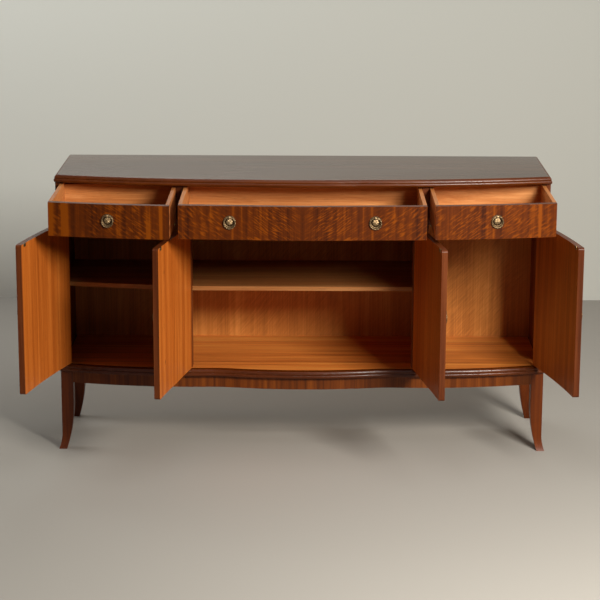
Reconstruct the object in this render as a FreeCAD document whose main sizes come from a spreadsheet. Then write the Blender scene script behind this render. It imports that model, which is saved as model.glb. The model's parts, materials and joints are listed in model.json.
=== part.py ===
import FreeCAD, Part
import math
import os
import re
import Sketcher

# A serpentine-fronted sideboard: three drawers over four doors, on sabre legs.
# Frame: +Z up, floor at z = 0, x = 0 on the centre line, the front towards -Y.
# The y origin lies midway between the back edge and the front corners of the top.
# Every moving piece is drawn shut, then put where it stands open.

LENGTHS = {
    # Overall sizes
    "top_width": 1525,  # width of the top
    "total_height": 877,  # floor to the top surface
    "back_y": 191.5,  # the top's back edge, from the origin
    "face_depth": 438,  # back edge to the front's foremost point
    "side_overhang": 2.5,  # top beyond the end panels
    "top_overhang": 14,  # top beyond the front
    "top_thick": 22.5,  # whole top board
    "base_overhang": 11,  # base moulding beyond the front
    "base_height": 254,  # floor to the underside of the bottom board
    "base_thick": 23.5,  # bottom board

    # The serpentine, as seen from above
    "face_swell_radius": 2200,  # middle swell of the doors and drawers
    "face_cove_start_x": 170,  # x where that swell turns into the cove
    "face_cove_radius": 700,  # slight hollow beside it
    "face_side_centre_x": 160,  # x of the side swell's centre
    "face_side_radius": 2800,  # side swell, which runs back to the corner
    "board_reach": 7,  # boards' curve in front of the doors and drawers, at the middle
    "board_swell_radius": 1180,  # middle swell of the top, the bottom board and the apron
    "board_cove_start_x": 215,  # x where that swell turns into the cove
    "board_cove_radius": 325,  # deeper hollow beside it
    "board_side_centre_x": 360,  # x of the side swell's foremost point
    "board_side_radius": 1400,  # side swell, which runs back to the corner

    # Mouldings
    "top_bead": 12,  # height of the bead under the top
    "top_bead_slope": 3.6,  # slope that takes off its two edges
    "top_ovolo": 9,  # quarter-round on the top's upper edge
    "base_bead": 11,  # height of the bead on the bottom board
    "base_bead_slope": 3.2,  # slope that takes off its two edges
    "base_ovolo": 8,  # slope on the bottom board's upper edge
    "quirk": 2,  # step between a bead and the quarter-round over it

    # Carcase
    "panel_thick": 14,  # end panels
    "packer_thick": 4,  # strip on the end panel that carries the outer door's hinges
    "packer_depth": 28,  # how far it runs back from the front
    "partition_x": 363.5,  # inner face of each partition
    "partition_thick": 22,  # partition
    "nosing": 6,  # strip of partition that shows between two doors
    "post_width": 23.5,  # hinge post beside each partition
    "post_back": 70,  # back of the hinge post, behind the front's foremost point
    "top_rail_thick": 4,  # rail under the top, over the drawers
    "rail_thick": 12.5,  # rail under the drawers
    "rail_back": 125,  # back of both rails, behind the front's foremost point
    "runner_width": 14,  # drawer runner
    "back_thick": 8,  # back panel
    "back_inset": 6,  # back panel behind the top's back edge
    "back_rail_depth": 14,  # rail that ties the top to the back
    "back_rail_height": 20,  # its height

    # Shelves
    "shelf_rise": 255.5,  # bottom board to the shelves' upper faces
    "shelf_thick": 13,  # shelf
    "side_shelf_inset": 35,  # left shelf behind the front
    "centre_shelf_front": 46,  # centre shelf's straight front behind the front's foremost point
    "bearer": 12,  # shelf bearer, square
    "bearer_length": 240,  # shelf bearer
    "notch_gap": 0.3,  # shelf to hinge post

    # Apron and legs
    "apron_height": 37.5,  # apron under the bottom board
    "apron_thick": 20,  # apron
    "apron_inset": 5,  # apron behind the front
    "apron_side_inset": 2,  # end apron behind the leg's outer face
    "leg_inset": 4,  # leg's straight outer face inside the end panel's
    "leg_width": 38,  # leg, square at the top
    "leg_setback": 7.4,  # leg's straight front face behind the front, at its inner corner
    "leg_rear": 10,  # rear leg's straight back face, from the back edge
    "flare_height": 50,  # height where the foot starts to flare
    "flare_radius": 130,  # outer sweep of the foot
    "taper_height": 150,  # height where the inner face starts to taper
    "taper_radius": 500,  # inner sweep
    "block": 30,  # corner block

    # Doors
    "door_thick": 17,  # door
    "door_back_gap": 2,  # door's inner face to what it shuts against
    "hinge_gap": 2.5,  # door's hinged edge to the carcase
    "door_gap": 1.5,  # door's free edge to its neighbour
    "door_foot_gap": 3.5,  # under the door
    "door_head_gap": 1.8,  # over the door

    # Hinges
    "knuckle_clear": 0.6,  # knuckle in front of the door's face
    "pin_radius": 1.5,  # hinge pin
    "pin_clearance": 0.15,  # pin in its knuckle, at the corners
    "knuckle_radius": 3,  # hinge knuckle
    "knuckle_gap": 0.3,  # between knuckles
    "leaf_thick": 1,  # hinge leaf
    "leaf_depth": 14.5,  # hinge leaf behind the face
    "leaf_inset": 0.4,  # leaf's front edge behind the face
    "hinge_length": 50,  # hinge
    "hinge_inset": 60,  # hinge from the door's end

    # Catches
    "catch_width": 16,  # catch under the rail
    "catch_depth": 18,  # its length, front to back
    "catch_height": 9,  # its height
    "catch_inset": 20,  # catch from the door's free edge
    "strike_thick": 1.5,  # strike plate on the door's inner face
    "catch_gap": 0.8,  # strike to catch

    # Drawers
    "drawer_height": 99.9,  # drawer front
    "drawer_run_gap": 0.3,  # drawer over its rail and runners
    "drawer_head_gap": 3,  # drawer under the top
    "drawer_side_gap": 1.5,  # drawer beside a partition
    "drawer_end_gap": 1,  # drawer beside an end panel
    "front_thick": 20,  # drawer front
    "lap": 6,  # wood left over the dovetails
    "side_thick": 11,  # drawer side
    "drawer_back_thick": 10,  # drawer back
    "drawer_back_drop": 6,  # drawer back below the sides' top
    "stop_gap": 2,  # closed drawer to the rail behind it
    "bottom_thick": 5,  # drawer bottom
    "bottom_rise": 8,  # drawer bottom above the side's lower edge
    "groove": 4,  # depth of the groove that holds it
    "pin_root": 15,  # dovetail pin where it leaves the front
    "pin_tip": 9,  # dovetail pin at its tip
    "left_pull": 299.6,  # how far each drawer stands open
    "centre_pull": 285.7,  # centre
    "right_pull": 284.8,  # right

    # Ring pulls
    "plate_radius": 18.5,  # back plate, to its corners
    "plate_thick": 1.8,  # back plate
    "plate_edge": 1,  # height of its square edge
    "plate_bevel": 1.2,  # width of its bevel
    "boss_radius": 8,  # domed boss
    "boss_height": 4,  # boss over the plate
    "boss_shoulder": 6.6,  # boss's radius at its shoulder
    "boss_crown": 3.4,  # boss's radius at its crown
    "plate_seat": 0.3,  # depth that the plate is let into the wood
    "ring_radius": 16.5,  # ring, to the middle of its bar
    "ring_bar": 2.2,  # half the ring bar's thickness
    "ring_gap": 0.3,  # hanging ring to the plate
    "ring_drop": 3,  # ring's centre under the plate's centre
    "lug_width": 6,  # lug that carries the ring
    "lug_wall": 1.2,  # metal left round the lug's eye
    "eye_clearance": 0.8,  # ring bar in the lug's eye
    "side_handle_inset": 177,  # side drawer's pull from the drawer's outer end
    "centre_handle_inset": 150,  # centre drawer's pulls from its ends
    "drawer_handle_rise": 53,  # drawer pulls above the drawer's foot
    "door_handle_inset": 32.5,  # pull from the door's free edge
    "door_handle_drop": 203,  # door pulls below the door's top
}

# How far each door stands open, in degrees
ANGLES = {
    "outer_left_angle": 96.7,
    "inner_left_angle": 99.3,
    "inner_right_angle": 97.1,
    "outer_right_angle": 94.3,
}

# How many
COUNTS = {
    "pin_count": 2,  # whole pins between the two half pins
    "plate_sides": 20,  # flats that stand for the beaded rim of the plate and the ring
    "boss_sides": 12,  # flats round the boss
    "eye_sides": 8,  # flats round an eye or a knuckle
}

# Places that follow from those sizes, in millimetres
PLACES = {
    "half_top": "top_width / 2",  # half the top
    "end_out": "half_top - side_overhang",  # end panel's outer face
    "end_in": "end_out - panel_thick",  # end panel's inner face
    "partition_out": "partition_x + partition_thick",  # partition's outer face
    "face_y": "back_y - face_depth",  # foremost point of the doors' and drawers' faces
    "board_y": "face_y - board_reach",  # foremost point of the boards' curve
    "floor_z": "base_height + base_thick",  # upper face of the bottom board
    "top_under": "total_height - top_thick",  # underside of the top
    "drawer_top": "top_under - top_rail_thick - drawer_head_gap",  # top of the drawer fronts
    "drawer_low": "drawer_top - drawer_height",  # foot of the drawer fronts
    "rail_top": "drawer_low - drawer_run_gap",  # upper face of the rail
    "rail_low": "rail_top - rail_thick",  # lower face of the rail
    "door_low": "floor_z + door_foot_gap",  # foot of the doors
    "door_high": "rail_low - door_head_gap",  # top of the doors
    "back_face": "back_y - back_inset - back_thick",  # back panel's front face
    "handle_drawer_z": "drawer_low + drawer_handle_rise",  # height of the drawer pulls
    "outer_edge": "end_in - packer_thick - hinge_gap",  # outer door's hinged edge
    "outer_free": "partition_x + nosing + door_gap",  # outer door's free edge
    "inner_edge": "partition_x - hinge_gap",  # inner door's hinged edge
    "inner_free": "door_gap",  # inner door's free edge
    "pin_standoff": "knuckle_radius + knuckle_clear",  # pin in front of the door's face
    "door_handle_z": "door_high - door_handle_drop",  # height of the door pulls
    "side_handle_x": "end_in - drawer_end_gap - side_handle_inset",  # pull on each side drawer
    "centre_handle_x": "partition_x - drawer_side_gap - centre_handle_inset",  # centre drawer's pulls
    "drawer_rear_y": "back_face - back_rail_depth - stop_gap",  # back of a closed drawer
    "shelf_top": "floor_z + shelf_rise",  # upper faces of the shelves
    "leg_outer": "end_out - leg_inset",  # leg's straight outer face
    "leg_in": "leg_outer - leg_width",  # leg's straight inner face
    "apron_low": "base_height - apron_height",  # underside of the apron
    "leg_rear_y": "back_y - leg_rear",  # rear leg's straight back face
}

# Each serpentine's arc centres and turning points, as seen from above
for curve in ("face", "board"):
    reach = f"({curve}_cove_radius + {curve}_side_radius)"
    PLACES[f"{curve}_share"] = f"{curve}_cove_start_x / {curve}_swell_radius"
    PLACES[f"{curve}_swell_y"] = f"{curve}_y + {curve}_swell_radius"
    PLACES[f"{curve}_cove_x"] = f"({curve}_swell_radius + {curve}_cove_radius) * {curve}_share"
    PLACES[f"{curve}_cove_y"] = (f"{curve}_swell_y - ({curve}_swell_radius + {curve}_cove_radius)"
                                 f" * sqrt(1 - {curve}_share ^ 2)")
    PLACES[f"{curve}_side_y"] = (f"{curve}_cove_y + sqrt({reach} ^ 2"
                                 f" - ({curve}_side_centre_x - {curve}_cove_x) ^ 2)")
    PLACES[f"{curve}_turn_x"] = (f"{curve}_cove_x + {curve}_cove_radius"
                                 f" * ({curve}_side_centre_x - {curve}_cove_x) / {reach}")
# leg's straight front face
PLACES["leg_front_y"] = ("board_side_y - sqrt(board_side_radius ^ 2"
                         " - (leg_in - board_side_centre_x) ^ 2) + leg_setback")

doc = FreeCAD.newDocument("sideboard")
sheet = doc.addObject("Spreadsheet::Sheet", "sizes")
written = {**LENGTHS, **ANGLES, **COUNTS, **{name: f"={formula}" for name, formula in PLACES.items()}}
for row, (alias, value) in enumerate(written.items(), 1):
    sheet.set(f"A{row}", alias)
    sheet.set(f"B{row}", str(value))
    sheet.setAlias(f"B{row}", alias)
doc.recompute()
aliases = list(written)

WORD = re.compile(r"[A-Za-z_]\w*")


def bound(text):
    """The text with every named size pointed at the sheet."""
    return WORD.sub(lambda m: f"sizes.{m.group(0)}" if m.group(0) in aliases else m.group(0), text)


def bind(thing, **links):
    """Bind properties of a document object to formulas of the named sizes."""
    for name, text in links.items():
        thing.setExpression(name.replace("__", "."), bound(text))


def number(alias):
    """A named size as a plain number."""
    return float(sheet.get(alias))


def face_at(x):
    """Formula of the face's y at a distance x from the centre, out on the side swell."""
    return f"(face_side_y - sqrt(face_side_radius ^ 2 - (({x}) - face_side_centre_x) ^ 2))"


# Small helpers that each make one object of the document


def box(name, x0, x1, y0, y1, z0, z1):
    """A box between six planes, each a formula."""
    made = doc.addObject("Part::Box", name)
    bind(made, Length=f"({x1}) - ({x0})", Width=f"({y1}) - ({y0})", Height=f"({z1}) - ({z0})")
    bind(made, Placement__Base__x=x0, Placement__Base__y=y0, Placement__Base__z=z0)
    return made


def side_box(name, sign, x0, x1, y0, y1, z0, z1):
    """The same on one side of the centre line; x0 and x1 are measured outwards."""
    if sign > 0:
        return box(name, x0, x1, y0, y1, z0, z1)
    return box(name, f"-({x1})", f"-({x0})", y0, y1, z0, z1)


def common(name, first, second):
    """What two objects share."""
    made = doc.addObject("Part::Common", name)
    made.Base = first
    made.Tool = second
    return made


def cut(name, first, second):
    """The first object without the second."""
    made = doc.addObject("Part::Cut", name)
    made.Base = first
    made.Tool = second
    return made


def fuse(name, pieces):
    """Several objects made one."""
    made = doc.addObject("Part::MultiFuse", name)
    made.Shapes = pieces
    return made


def group(name, pieces):
    """Several objects side by side, each still its own solid."""
    made = doc.addObject("Part::Compound", name)
    made.Links = pieces
    return made


nodes = []


def node(label, thing):
    """Give a finished sub-part the name it is known by."""
    thing.Label = label
    nodes.append(thing)
    return thing


# The serpentine outline, which every curved piece of the front is cut from


def pinned(sketch, name, constraint, text):
    """Add one dimension to a sketch and bind it to a formula."""
    index = sketch.addConstraint(constraint)
    sketch.renameConstraint(index, name)
    sketch.setExpression(f"Constraints.{name}", bound(text))


def sketch_on(body, name, level):
    """An empty sketch on the body's horizontal plane, raised to a level."""
    sketch = body.newObject("Sketcher::SketchObject", name)
    plane = next(f for f in body.Origin.OriginFeatures if f.Role == "XY_Plane")
    sketch.AttachmentSupport = [(plane, "")]
    sketch.MapMode = "FlatFace"
    sketch.setExpression("AttachmentOffset.Base.z", bound(level))
    return sketch


# In a constraint, point 1 of a line or arc is its start, 2 its end and 3 its centre.
# Geometry -1 is the x axis, whose point 1 is the origin, and -2 is the y axis.


def arc_between(centre, radius, x_start, x_end, above):
    """An arc of a circle, counterclockwise between two x on its upper or lower half."""
    turn = (1 if above else -1)
    first = turn * math.acos((x_start - centre.x) / radius)
    last = turn * math.acos((x_end - centre.x) / radius)
    circle = Part.Circle(centre, FreeCAD.Vector(0, 0, 1), radius)
    return Part.ArcOfCircle(circle, first, last)


def line_between(x0, y0, x1, y1):
    """A straight line in the sketch plane."""
    return Part.LineSegment(FreeCAD.Vector(x0, y0, 0), FreeCAD.Vector(x1, y1, 0))


def serpentine(body, name, curve, inset, half, back, level, inset_value, half_value):
    """The outline of a level slice, set back from the face's or the boards' curve by an inset."""
    sketch = sketch_on(body, name, level)
    swell = number(f"{curve}_swell_radius") - inset_value
    cove = number(f"{curve}_cove_radius") + inset_value
    side = number(f"{curve}_side_radius") - inset_value
    first = swell * number(f"{curve}_share")
    cove_x = number(f"{curve}_cove_x")
    lean = (number(f"{curve}_turn_x") - cove_x) / number(f"{curve}_cove_radius")
    second = cove_x + cove * lean
    middle_c = FreeCAD.Vector(0, number(f"{curve}_swell_y"), 0)
    cove_c = FreeCAD.Vector(cove_x, number(f"{curve}_cove_y"), 0)
    side_c = FreeCAD.Vector(number(f"{curve}_side_centre_x"), number(f"{curve}_side_y"), 0)
    cove_m = FreeCAD.Vector(-cove_c.x, cove_c.y, 0)
    side_m = FreeCAD.Vector(-side_c.x, side_c.y, 0)
    back_value = number("back_y")
    corner = side_c.y - math.sqrt(side ** 2 - (half_value - side_c.x) ** 2)
    sketch.addGeometry(arc_between(middle_c, swell, -first, first, False))
    sketch.addGeometry(arc_between(cove_c, cove, second, first, True))
    sketch.addGeometry(arc_between(side_c, side, second, half_value, False))
    sketch.addGeometry(arc_between(cove_m, cove, -first, -second, True))
    sketch.addGeometry(arc_between(side_m, side, -half_value, -second, False))
    sketch.addGeometry(line_between(half_value, corner, half_value, back_value))
    sketch.addGeometry(line_between(half_value, back_value, -half_value, back_value))
    sketch.addGeometry(line_between(-half_value, back_value, -half_value, corner))
    middle, cove_r, side_r, cove_l, side_l, line_r, line_back, line_l = range(8)
    con = Sketcher.Constraint
    start_text = f"({curve}_swell_radius - ({inset})) * {curve}_share"
    turn_text = (f"{curve}_cove_x + ({curve}_cove_radius + ({inset}))"
                 f" * ({curve}_turn_x - {curve}_cove_x) / {curve}_cove_radius")
    sketch.addConstraint(con("PointOnObject", middle, 3, -2))
    pinned(sketch, "swell_y", con("DistanceY", -1, 1, middle, 3, middle_c.y),
           f"{curve}_swell_y")
    pinned(sketch, "swell", con("Radius", middle, swell),
           f"{curve}_swell_radius - ({inset})")
    pinned(sketch, "start_r", con("DistanceX", -1, 1, middle, 2, first), start_text)
    pinned(sketch, "start_l", con("DistanceX", middle, 1, -1, 1, first), start_text)
    sketch.addConstraint(con("Tangent", cove_r, 2, middle, 2))
    pinned(sketch, "cove_r", con("Radius", cove_r, cove), f"{curve}_cove_radius + ({inset})")
    pinned(sketch, "turn_r", con("DistanceX", -1, 1, cove_r, 1, second), turn_text)
    sketch.addConstraint(con("Tangent", side_r, 1, cove_r, 1))
    pinned(sketch, "side_r", con("Radius", side_r, side), f"{curve}_side_radius - ({inset})")
    pinned(sketch, "end_r", con("DistanceX", -1, 1, side_r, 2, half_value), half)
    sketch.addConstraint(con("Tangent", cove_l, 1, middle, 1))
    pinned(sketch, "cove_l", con("Radius", cove_l, cove), f"{curve}_cove_radius + ({inset})")
    pinned(sketch, "turn_l", con("DistanceX", cove_l, 2, -1, 1, second), turn_text)
    sketch.addConstraint(con("Tangent", side_l, 2, cove_l, 2))
    pinned(sketch, "side_l", con("Radius", side_l, side), f"{curve}_side_radius - ({inset})")
    pinned(sketch, "end_l", con("DistanceX", side_l, 1, -1, 1, half_value), half)
    sketch.addConstraint(con("Coincident", line_r, 1, side_r, 2))
    sketch.addConstraint(con("Vertical", line_r))
    pinned(sketch, "back", con("DistanceY", -1, 1, line_r, 2, back_value), back)
    sketch.addConstraint(con("Coincident", line_back, 1, line_r, 2))
    sketch.addConstraint(con("Horizontal", line_back))
    sketch.addConstraint(con("Coincident", line_l, 1, line_back, 2))
    sketch.addConstraint(con("Coincident", line_l, 2, side_l, 1))
    sketch.addConstraint(con("Vertical", line_l))
    return sketch


def pad(body, name, sketch, length):
    """Raise a sketch into a solid."""
    made = body.newObject("PartDesign::Pad", name)
    made.Profile = sketch
    made.setExpression("Length", bound(length))
    sketch.Visibility = False
    return made


def zone(name, curve, inset, inset_value):
    """Everything behind a curve, set back by an inset, from the floor to the top."""
    body = doc.addObject("PartDesign::Body", name)
    outline = serpentine(body, f"{name}_outline", curve, inset, "half_top", "back_y", "0",
                         inset_value, number("half_top"))
    pad(body, f"{name}_pad", outline, "total_height")
    return body


def zone_at(name, *parts, curve="face"):
    """A zone whose inset is the sum of some named sizes."""
    return zone(name, curve, " + ".join(parts) or "0", sum(number(p) for p in parts))


face_zone = zone_at("face_zone")
door_zone = zone_at("door_zone", "door_thick")
stop_zone = zone_at("stop_zone", "door_thick", "door_back_gap")
strike_zone = zone_at("strike_zone", "door_thick", "strike_thick")
catch_zone = zone_at("catch_zone", "door_thick", "strike_thick", "catch_gap")
front_zone = zone_at("front_zone", "front_thick")
lap_zone = zone_at("lap_zone", "lap")
shelf_zone = zone_at("shelf_zone", "side_shelf_inset")
apron_zone = zone_at("apron_zone", "apron_inset", curve="board")
apron_back_zone = zone_at("apron_back_zone", "apron_inset", "apron_thick", curve="board")
panel_edge_zone = zone("panel_edge_zone", "face", "front_thick - groove",
                       number("front_thick") - number("groove"))

SIDES = (("left", -1), ("right", 1))
FRONT_LIMIT = "board_y - top_overhang"


# Top and bottom boards: a sloped bead, a quirk and a rounded or sloped edge over it

def edged(body, name, kind, base, level, measure, text):
    """Round or slope every edge of a board at one level, but not its back."""
    back = number("back_y")
    picked = []
    for index, edge in enumerate(base.Shape.Edges, 1):
        bounds = edge.BoundBox
        flat = round(bounds.ZMin - level, 3) == 0 and round(bounds.ZMax - level, 3) == 0
        if flat and round(back - bounds.YMin, 3) > 0:
            picked.append(f"Edge{index}")
    made = body.newObject(kind, name)
    made.Base = (base, picked)
    made.setExpression(measure, bound(text))
    doc.recompute()
    return made


def moulded_board(name, curve, overhang, bead, bead_slope, kind, measure, edge, low, thick):
    """A board whose front and ends carry the moulding; the upper edge is rounded or sloped."""
    body = doc.addObject("PartDesign::Body", name)
    reach = number(overhang)
    half = number("half_top")
    lower = serpentine(body, f"{name}_bead_outline", curve, f"-{overhang}", "half_top", "back_y", low,
                       -reach, half)
    slab = pad(body, f"{name}_bead", lower, bead)
    doc.recompute()
    low_z = float(sheet.get(low))
    slab = edged(body, f"{name}_bead_foot", "PartDesign::Chamfer", slab, low_z, "Size", bead_slope)
    slab = edged(body, f"{name}_bead_head", "PartDesign::Chamfer", slab, low_z + number(bead), "Size",
                 bead_slope)
    upper = serpentine(body, f"{name}_edge_outline", curve, f"quirk - {overhang}", "half_top - quirk",
                       "back_y", f"{low} + {bead}", number("quirk") - reach, half - number("quirk"))
    slab = pad(body, f"{name}_edge", upper, f"{thick} - {bead}")
    doc.recompute()
    slab = edged(body, f"{name}_arris", kind, slab, low_z + number(thick), measure, edge)
    body.Tip = slab
    return body


node("top_board", moulded_board("top", "board", "top_overhang", "top_bead", "top_bead_slope",
                                "PartDesign::Fillet", "Radius", "top_ovolo", "top_under", "top_thick"))
node("bottom_board", moulded_board("bottom", "board", "base_overhang", "base_bead", "base_bead_slope",
                                   "PartDesign::Chamfer", "Size", "base_ovolo", "base_height",
                                   "base_thick"))


# End panels, partitions and hinge posts

BACK_EDGE = "back_y - back_inset"
for side, sign in SIDES:
    blank = side_box(f"end_{side}_blank", sign, "end_in", "end_out", FRONT_LIMIT, BACK_EDGE,
                     "floor_z", "top_under")
    node(f"end_panel_{side}", common(f"end_{side}", blank, face_zone))

for side, sign in SIDES:
    blank = side_box(f"partition_{side}_blank", sign, "partition_x", "partition_out", FRONT_LIMIT,
                     "back_face", "floor_z", "top_under")
    board = common(f"partition_{side}_board", blank, face_zone)
    waste = side_box(f"partition_{side}_waste", sign, "partition_x + nosing", "partition_out",
                     FRONT_LIMIT, "back_face", "floor_z", "rail_low")
    rebate = cut(f"partition_{side}_rebate", waste, stop_zone)
    node(f"partition_{side}", cut(f"partition_{side}_cut", board, rebate))

posts = []
for side, sign in SIDES:
    blank = side_box(f"post_{side}_blank", sign, "partition_x - post_width", "partition_x",
                     FRONT_LIMIT, "face_y + post_back", "floor_z", "rail_low")
    posts.append(common(f"post_{side}", blank, stop_zone))
    blank = side_box(f"packer_{side}_blank", sign, "end_in - packer_thick", "end_in", FRONT_LIMIT,
                     f"{face_at('end_in')} + packer_depth", "floor_z", "rail_low")
    posts.append(common(f"packer_{side}", blank, face_zone))
node("hinge_posts", group("posts", posts))

node("back_panel", box("back", "-end_in", "end_in", "back_face", BACK_EDGE, "floor_z", "top_under"))


# Rails, runners and the rails that tie the top to the back

BAYS = (("left", "-end_in", "-partition_out"),
        ("centre", "-partition_x", "partition_x"),
        ("right", "partition_out", "end_in"))
rails, runners, back_rails = [], [], []
for bay, x0, x1 in BAYS:
    blank = box(f"rail_{bay}_blank", x0, x1, FRONT_LIMIT, "face_y + rail_back", "rail_low", "rail_top")
    rails.append(common(f"rail_{bay}", blank, face_zone))
    blank = box(f"top_rail_{bay}_blank", x0, x1, FRONT_LIMIT, "face_y + rail_back",
                "top_under - top_rail_thick", "top_under")
    rails.append(common(f"top_rail_{bay}", blank, lap_zone))
    for hand, start in (("a", x0), ("b", f"{x1} - runner_width")):
        runners.append(box(f"runner_{bay}_{hand}", start, f"{start} + runner_width",
                           "face_y + rail_back", "back_face", "rail_low", "rail_top"))
    back_rails.append(box(f"back_rail_{bay}", x0, x1, "back_face - back_rail_depth", "back_face",
                          "top_under - back_rail_height", "top_under"))
node("drawer_rails", group("rails", rails))
node("drawer_runners", group("runners", runners))
node("back_rails", group("ties", back_rails))


# Shelves on their bearers

blank = box("shelf_left_blank", "-end_in", "-partition_out", FRONT_LIMIT, "back_face",
            "shelf_top - shelf_thick", "shelf_top")
node("shelf_left", common("shelf_left_cut", blank, shelf_zone))

blank = box("shelf_centre_blank", "-partition_x", "partition_x", "face_y + centre_shelf_front",
            "back_face", "shelf_top - shelf_thick", "shelf_top")
notches = [side_box(f"notch_{side}", sign, "partition_x - post_width - notch_gap", "partition_x",
                    "face_y", "face_y + post_back + notch_gap", "floor_z", "rail_low")
           for side, sign in SIDES]
node("shelf_centre", cut("shelf_centre_cut", blank, fuse("notches", notches)))

BEARERS = (("end", "-end_in"), ("partition", "-partition_out - bearer"),
           ("centre_left", "-partition_x"), ("centre_right", "partition_x - bearer"))
bearers = [box(f"bearer_{name}", x0, f"{x0} + bearer", "back_face - bearer_length", "back_face",
               "shelf_top - shelf_thick - bearer", "shelf_top - shelf_thick")
           for name, x0 in BEARERS]
node("shelf_bearers", group("bearers", bearers))


# Aprons, legs and corner blocks

blank = box("apron_blank", "-leg_in", "leg_in", FRONT_LIMIT, "0", "apron_low", "base_height")
node("apron_front", cut("apron_curve", common("apron_face", blank, apron_zone), apron_back_zone))
ends = [side_box(f"apron_{side}", sign, "leg_outer - apron_side_inset - apron_thick",
                 "leg_outer - apron_side_inset", "leg_front_y + leg_width",
                 "leg_rear_y - leg_width", "apron_low", "base_height")
        for side, sign in SIDES]
node("apron_ends", group("apron_sides", ends))
node("apron_back", box("apron_rear", "-leg_in", "leg_in", "leg_rear_y - apron_thick", "leg_rear_y",
                       "apron_low", "base_height"))


def leg_profile(name):
    """The sabre profile, upright, from its straight inner face outwards."""
    body = doc.addObject("PartDesign::Body", name)
    sketch = sketch_on(body, f"{name}_outline", "0")
    high, wide = number("base_height"), number("leg_width")
    taper_z, taper = number("taper_height"), number("taper_radius")
    flare_z, flare = number("flare_height"), number("flare_radius")
    taper_turn = math.asin(taper_z / taper)
    flare_turn = math.asin(flare_z / flare)
    foot_in = taper - taper * math.cos(taper_turn)
    foot_out = wide + flare - flare * math.cos(flare_turn)
    up = FreeCAD.Vector(0, 0, 1)
    taper_circle = Part.Circle(FreeCAD.Vector(taper, taper_z, 0), up, taper)
    flare_circle = Part.Circle(FreeCAD.Vector(wide + flare, flare_z, 0), up, flare)
    sketch.addGeometry(line_between(0, high, 0, taper_z))
    sketch.addGeometry(Part.ArcOfCircle(taper_circle, math.pi, math.pi + taper_turn))
    sketch.addGeometry(line_between(foot_in, 0, foot_out, 0))
    sketch.addGeometry(Part.ArcOfCircle(flare_circle, math.pi, math.pi + flare_turn))
    sketch.addGeometry(line_between(wide, flare_z, wide, high))
    sketch.addGeometry(line_between(wide, high, 0, high))
    inner, taper_arc, sole, flare_arc, outer, head = range(6)
    con = Sketcher.Constraint
    sketch.addConstraint(con("PointOnObject", inner, 1, -2))
    sketch.addConstraint(con("Vertical", inner))
    pinned(sketch, "height", con("DistanceY", -1, 1, inner, 1, high), "base_height")
    pinned(sketch, "taper_height", con("DistanceY", -1, 1, inner, 2, taper_z), "taper_height")
    sketch.addConstraint(con("Tangent", taper_arc, 1, inner, 2))
    pinned(sketch, "taper", con("Radius", taper_arc, taper), "taper_radius")
    sketch.addConstraint(con("PointOnObject", taper_arc, 2, -1))
    sketch.addConstraint(con("Coincident", sole, 1, taper_arc, 2))
    sketch.addConstraint(con("Coincident", sole, 2, flare_arc, 2))
    pinned(sketch, "flare", con("Radius", flare_arc, flare), "flare_radius")
    sketch.addConstraint(con("PointOnObject", flare_arc, 2, -1))
    sketch.addConstraint(con("Tangent", flare_arc, 1, outer, 1))
    sketch.addConstraint(con("Vertical", outer))
    pinned(sketch, "width", con("DistanceX", -1, 1, outer, 1, wide), "leg_width")
    pinned(sketch, "flare_height", con("DistanceY", -1, 1, outer, 1, flare_z), "flare_height")
    sketch.addConstraint(con("Coincident", head, 1, outer, 2))
    sketch.addConstraint(con("Coincident", head, 2, inner, 1))
    sketch.addConstraint(con("Horizontal", head))
    pad(body, f"{name}_pad", sketch, "leg_width * 3")
    return body


AXIS_X = FreeCAD.Vector(1, 0, 0)
AXIS_Y = FreeCAD.Vector(0, 1, 0)
AXIS_Z = FreeCAD.Vector(0, 0, 1)
from_front = leg_profile("leg_from_front")
from_front.Placement.Rotation = FreeCAD.Rotation(AXIS_X, AXIS_Z, -AXIS_Y, "XYZ")
bind(from_front, Placement__Base__x="leg_in", Placement__Base__y="leg_front_y + leg_width * 2")
from_side = leg_profile("leg_from_side")
from_side.Placement.Rotation = FreeCAD.Rotation(-AXIS_Y, AXIS_Z, -AXIS_X, "XYZ")
bind(from_side, Placement__Base__x="leg_in + leg_width * 2", Placement__Base__y="leg_front_y + leg_width")


def mirrored(name, source, normal, plane_y):
    """A mirror image about the centre line or a plane across it."""
    made = doc.addObject("Part::Mirroring", name)
    made.Source = source
    made.Normal = normal
    bind(made, Base__y=plane_y)
    return made


LEG_MIDDLE = "(leg_front_y + leg_rear_y) / 2"
front_right = node("leg_front_right", common("leg_a", from_front, from_side))
node("leg_front_left", mirrored("leg_b", front_right, AXIS_X, "0"))
rear_right = node("leg_rear_right", mirrored("leg_c", front_right, AXIS_Y, LEG_MIDDLE))
node("leg_rear_left", mirrored("leg_d", rear_right, AXIS_X, "0"))

blocks = []
for side, sign in SIDES:
    blank = side_box(f"block_front_{side}_blank", sign, "leg_in - block", "leg_in", FRONT_LIMIT,
                     "leg_front_y + leg_width", "apron_low", "base_height")
    blocks.append(common(f"block_front_{side}", blank, apron_back_zone))
    blocks.append(side_box(f"block_rear_{side}", sign, "leg_in - block", "leg_in",
                           "leg_rear_y - leg_width", "leg_rear_y - apron_thick", "apron_low",
                           "base_height"))
node("corner_blocks", group("blocks", blocks))


# Ring pulls: a bevelled plate with a boss and a lug, and the ring that hangs from it.
# Their many-sided outlines stand for the beaded brass. Drawn with +Y up and +Z away from the wood.


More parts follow.
